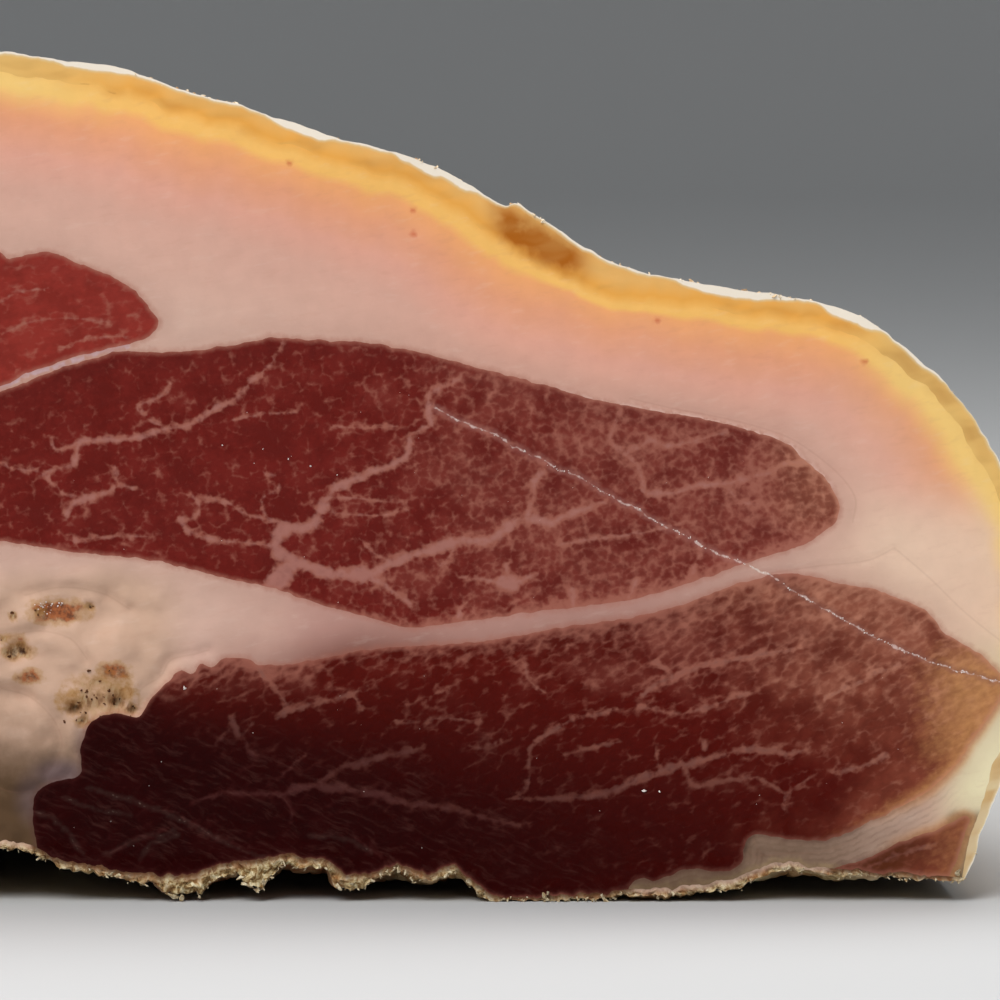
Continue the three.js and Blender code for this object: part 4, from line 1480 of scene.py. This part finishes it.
def make_skin():
    """The outside of the rind: waxy pale amber, with fine wrinkles and pores and some pale bloom. The
    wrinkles' creases are darkened with painted shade.
    """
    s = Shader("rind_skin", gloss=0.25)
    broad, clouds = s.noise(55.0, 2.0), s.noise(19.0, 3.0, s.swayed(24.0, 16.0))
    wrinkles = s.range(s.cells(2.6, s.turned(s.swayed(6.0, 4.0), 0, (1.6, 1.0, 1.0))), 0.0, 0.20)
    fine = s.noise(0.9, 4.0, rough=0.6)
    colour = s.shade(s.ramp(s.sway(clouds, fine, 0.10), *SKIN_RAMP), broad, 0.88, 1.05)
    # Painted shade in the wrinkles' creases.
    colour = s.mix(colour, SKIN_CREASE_SHADE, wrinkles, 1.0, 0.0, 0.12)
    bloom = s.times(s.range(s.noise(7.0, 4.0, rough=0.6), 0.50, 0.72), s.range(broad, 0.42, 0.62))
    colour = s.mix(colour, SKIN_BLOOM, s.times(bloom, 0.5))
    pores = s.range(s.cells(2.1, feature="F1"), 0.13, 0.06)
    colour = s.mix(colour, SKIN_PORE, s.times(pores, 0.55))
    height = s.sway(s.sway(wrinkles, fine, 0.5), pores, -0.6)
    return s.finish(colour, height, 0.45, 0.22, s.sway(s.range(bloom, 0.0, 1.0, 0.34, 0.58), clouds, 0.12))


def make_crust(name, cut):
    """Dried lard: pale, cracked and crumbly, with tan and brown places."""
    s = Shader(name, cut, roughness=0.62)
    rough = s.noise(0.9, 5.0, s.swayed(1.6, 1.5), 0.68)
    if not cut:
        rough = s.sway(s.noise(4.5, 6.0, s.swayed(5.0, 4.0), 0.62), rough, 0.35)
    tan = s.range(s.noise(4.5, 4.0), 0.48, 0.64)
    colour = s.mix(s.ramp(rough, *CRUST_RAMP), CRUST_TAN, s.times(tan, 0.55))
    if cut:
        under, _ = fat_colour(s)
        under = s.mix(under, CRUST_INNER, "lean", -1.2, -0.3)
        colour = s.mix(colour, under, s.sway("low", rough, 0.6), -1.1, 0.0, 0.9)
    else:
        places = s.noise(24.0, 5.0, s.swayed(18.0, 14.0), 0.6)
        colour = s.mix(colour, CRUST_BROWN, places, 0.50, 0.62, 0.62)
        colour = s.mix(colour, CRUST_PALE, places, 0.44, 0.34, 0.5)
    return s.finish(colour, rough, 0.8, 0.35)


def make_bit_material(name, dark, light, size):
    s = Shader(name, roughness=0.5)
    wave = s.noise(size, 4.0, rough=0.65)
    return s.finish(s.ramp(wave, (0.35, dark), (0.65, light)), wave, 0.5, 0.1)


fat_material = make_fat()
rind_cut, skin = make_rind_cut(), make_skin()
crust, crust_cut = make_crust("lard_crust", False), make_crust("cut_lard", True)
top_meat = make_lean("top_meat", TOP_RED, VEIN, 8, 1.6, 0.8, 0.06)
red_meat = make_lean("lean_meat", LEAN_RED, VEIN, 12, 1.1, 0.76, 0.05)
dark_meat = make_lean("dark_meat", LOWER_RED, VEIN_MAUVE, 27, 1.7, 0.7, 0.04, True)
corner_meat = make_lean("corner_meat", CORNER_BROWN, VEIN_MAUVE, 27, 1.7, 0.45, 0.04)


def lean_outside(x, z):
    """Distance to the nearest muscle, as a negative number."""
    return -nearest(x, z, [loop[::2] for loop in muscles], True)


def rind_fields(face, share):
    """The rind's own fields at the cut. The share is 0 at its outer edge and 1 at its inner one."""
    thick = np.tile(rind_thick, len(share) // len(rind_thick))
    # Where the white rim is wider: partly pale skin, partly a painted highlight.
    white = sum(high * smoothstep(half, 0.4 * half, np.abs(face.px - px)) for px, half, high in WHITE_RIM_AND_HIGHLIGHT)
    return {
        "deep": -thick * (1 - share),
        "edge": thick * share - 0.20 + 0.12 * face.part("rim right") - white,
        "low": np.maximum(face.z - lard_top(face.x), 0),
    }


def skin_wrinkles(points):
    return (0.7 * wander_3d(points, 24.0, 61.0, 2) + 0.10 * wander_3d(points, 3.0, 62.0)
            - 0.45 * np.abs(wander_3d(points * (0.45, 1, 1), 9.0, 63.0, 2)))


def crust_wrinkles(points):
    lumps = 1.1 * wander_3d(points, 9.0, 64.0, 4) + 0.5 * wander_3d(points, 2.4, 65.0) - 0.3
    return np.minimum(lumps, 0.1)


shell("rind_skin", rind_outer, rind_inner, 11, skin_wrinkles, [skin, rind_cut], rind_fields, SKIN_DROP)
shell("dried_lard", lard_outer[::-1], lard_inner[::-1], 9, crust_wrinkles, [crust, crust_cut], None, 0.0)
fat_body()
muscle("lean_top", top, TOP_VEINS, top_meat, "lean")
muscle("lean_middle", middle, MIDDLE_VEINS, red_meat, "lean")
muscle("lean_lower", lower, LOWER_VEINS, dark_meat, "lean_dark")
muscle("lean_corner", corner, CORNER_VEINS, corner_meat, "lean_dark")
muscle("lean_far", far, FAR_VEINS, red_meat, "lean")


def face_spots(x, z):
    """Points on the surface of the cut face, on the meat too."""
    lean = nearest(x, z, [loop[::2] for loop in muscles], True)
    in_meat = np.any([inside(x, z, loop) for loop in muscles], axis=0)
    return on_surface(Face(x, z, np.where(in_meat, lean, -lean)))


def bits(name, centres, sizes, shape, material):
    """Small uneven grains, each as long as its size, with the other two sides as shares of that length."""
    ball = bmesh.new()
    bmesh.ops.create_icosphere(ball, subdivisions=2, radius=0.5)
    round_points = np.array([v.co for v in ball.verts])
    round_faces = np.array([[v.index for v in face.verts] for face in ball.faces])
    ball.free()
    points, faces = [], []
    for i, (centre, size) in enumerate(zip(centres, sizes)):
        turn, _ = np.linalg.qr(dice.normal(size=(3, 3)))
        lumps = 1 + 0.28 * dice.normal(size=len(round_points))
        curl = np.zeros((len(round_points), 3))
        curl[:, 2] = dice.uniform(-0.6, 0.6) * (4 * round_points[:, 0] ** 2 - 0.5)
        sides = np.array(shape) * dice.uniform(0.75, 1.25, 3)
        points.append(centre + ((round_points * lumps[:, None] * sides + curl * shape[1]) * size) @ turn)
        faces.append(round_faces + i * len(round_points))
    points, faces = lifted(np.vstack(points), FLOOR_GAP), np.vstack(faces).tolist()
    piece(name, points, faces, None, [material], [], "fat")


def make_crystals():
    """White grains: a row along the crack, some in the reddish pocket, and a few on the meat."""
    along = (len(crack) * dice.beta(1.6, 1.0, 150)).astype(int)
    line = crack[along] + dice.normal(0, 0.09, (len(along), 2))
    meat = on_face(dice.uniform(*MEAT_BOX, (60, 2)))
    meat = meat[inside(*meat.T, middle) | inside(*meat.T, lower)]
    pocket = on_face(dice.normal(*POCKET, (26, 2)))
    places = np.vstack([line, meat, pocket, on_face(BIG_CRYSTALS)[:, :2]])
    sizes = np.concatenate([dice.uniform(0.08, 0.24, len(line)), dice.uniform(0.06, 0.13, len(meat)),
                            dice.uniform(0.12, 0.3, len(pocket)), [size for _, _, size in BIG_CRYSTALS]])
    white = make_bit_material("crystal", CRYSTAL_DARK, CRYSTAL_LIGHT, 0.2)
    bits("crystals", face_spots(*places.T), sizes, (1.0, 0.8, 0.7), white)


def make_lard_crumbs():
    """Curled flakes and crumbs of dried lard along the lower edge."""
    x = np.concatenate([dice.uniform(-108, FACE_LEFT, 120), dice.uniform(FACE_LEFT, 105.5, 340)])
    reach = dice.beta(1.2, 3.0, len(x))
    sizes = dice.uniform(0.25, 0.8, len(x)) * (1 - 0.4 * reach)
    z = low_edge_of(x) + dice.uniform(-0.3, 0.3, len(x))
    centres = np.stack([x, FRONT - 0.9 + 5.0 * reach, np.maximum(z, 0.3 * sizes)], axis=1)
    x, z, hanging_sizes = on_face(HANGING_CRUMBS).T
    hanging = np.stack([x, np.full(len(x), FRONT - 0.4), z], axis=1)
    lard = make_bit_material("lard_crumb", CRUMB_DARK, CRUMB_LIGHT, 0.6)
    sizes = np.concatenate([sizes, hanging_sizes])
    bits("lard_crumbs", np.vstack([centres, hanging]), sizes, (1.0, 0.45, 0.25), lard)


def make_truffle_crumbs():
    """Dark crumbs in the stained pockets of the pale fat."""
    spots, sizes = [], []
    for px, py, wide, high, strength in TRUFFLE_STAINS:
        count = max(2, round(0.03 * wide * high * strength))
        spots.append(on_face(dice.normal(0, 0.5, (count, 2)) * (wide, high) + (px, py)))
        sizes.append(dice.uniform(0.15, 0.6, count))
    spots, sizes = np.vstack(spots), np.concatenate(sizes)
    free = ~inside(*spots.T, lower)
    dark = make_bit_material("truffle_crumb", TRUFFLE, TRUFFLE_LIGHT, 0.5)
    bits("truffle_crumbs", face_spots(*spots[free].T), sizes[free], (1.0, 0.7, 0.5), dark)


def make_skin_flakes():
    """Frays and curls of the rind's outer skin."""
    frayed = on_face([(px, 0) for px in FRAYS])[:, 0]
    spots = [dice.integers(4, len(rind_outer) - 4, 46)]
    for x in frayed:
        spots.append(dice.normal(np.abs(rind_outer[:, 0] - x).argmin(), 5, 3).astype(int))
    at = np.concatenate(spots)
    sizes = dice.uniform(0.3, 0.9, len(at))
    flat = rind_outer[at] + skin_in[at] * (dice.uniform(0.05, 0.4, len(at)) * sizes)[:, None]
    centres = np.stack([flat[:, 0], FRONT + 3.0 * dice.beta(1.0, 3.0, len(at)), flat[:, 1]], axis=1)
    flake = make_bit_material("skin_flake", FLAKE_DARK, FLAKE_LIGHT, 0.8)
    bits("skin_flakes", centres, sizes, (1.0, 0.6, 0.25), flake)


make_crystals()
make_lard_crumbs()
make_truffle_crumbs()
make_skin_flakes()


def make_floor():
    """A pale floor that curves up far away into a wall all round."""
    profile = [(1.0, 0.0), (FLOOR_FLAT, 0.0)]
    profile += [(FLOOR_FLAT + FLOOR_CURVE * math.sin(a), FLOOR_CURVE * (1 - math.cos(a)))
                for a in np.linspace(0.1, math.pi / 2, 14)]
    profile.append((FLOOR_FLAT + FLOOR_CURVE, 5.0))
    turns = np.linspace(0, 2 * math.pi, FLOOR_SIDES, endpoint=False)
    points = [(r * math.cos(a), r * math.sin(a), z) for r, z in profile for a in turns] + [(0, 0, 0)]
    faces = []
    for i in range(FLOOR_SIDES):
        j = (i + 1) % FLOOR_SIDES
        faces.append((len(points) - 1, i, j))
        for ring in range(0, FLOOR_SIDES * (len(profile) - 1), FLOOR_SIDES):
            faces.append((ring + i, ring + FLOOR_SIDES + i, ring + FLOOR_SIDES + j, ring + j))
    mesh = bpy.data.meshes.new("floor")
    mesh.from_pydata(points, [], faces)
    mesh.shade_smooth()
    s = Shader("floor_paint", roughness=0.8)
    s.surface.inputs["Base Color"].default_value = FLOOR_GREY
    mesh.materials.append(s.material)
    floor = link("floor", mesh)


def make_light(name, place, aim, size, power):
    lamp = bpy.data.lights.new(name, "AREA")
    lamp.shape = "RECTANGLE"
    lamp.size, lamp.size_y = size
    lamp.energy = power
    made = link(name, lamp)
    made.location = place
    made.rotation_euler = (Vector(aim) - Vector(place)).to_track_quat("-Z", "Y").to_euler()


def make_camera():
    away_from = Vector((0, -math.cos(CAMERA_ELEVATION), math.sin(CAMERA_ELEVATION)))
    camera = bpy.data.cameras.new("camera")
    camera.lens = CAMERA_LENS
    camera.clip_end = 20
    made = link("camera", camera)
    made.location = Vector(CAMERA_TARGET) + away_from * CAMERA_DISTANCE
    made.rotation_euler = (-away_from).to_track_quat("-Z", "Y").to_euler()
    bpy.context.scene.camera = made


def make_world():
    world = bpy.data.worlds.new("world")
    world.use_nodes = True
    sky = world.node_tree.nodes["Background"].inputs
    sky["Color"].default_value = (0.8, 0.81, 0.83, 1)
    sky["Strength"].default_value = 0.55
    bpy.context.scene.world = world


make_floor()
make_light("key", (0.1, 0.15, 0.9), (0.02, -0.02, 0.05), (0.7, 0.5), 6.2)
make_light("fill", (-0.30, -0.80, 0.95), (0.03, -0.075, 0.05), (0.8, 0.8), 11.5)
make_camera()
make_world()
bpy.context.scene.view_settings.view_transform = "Standard"
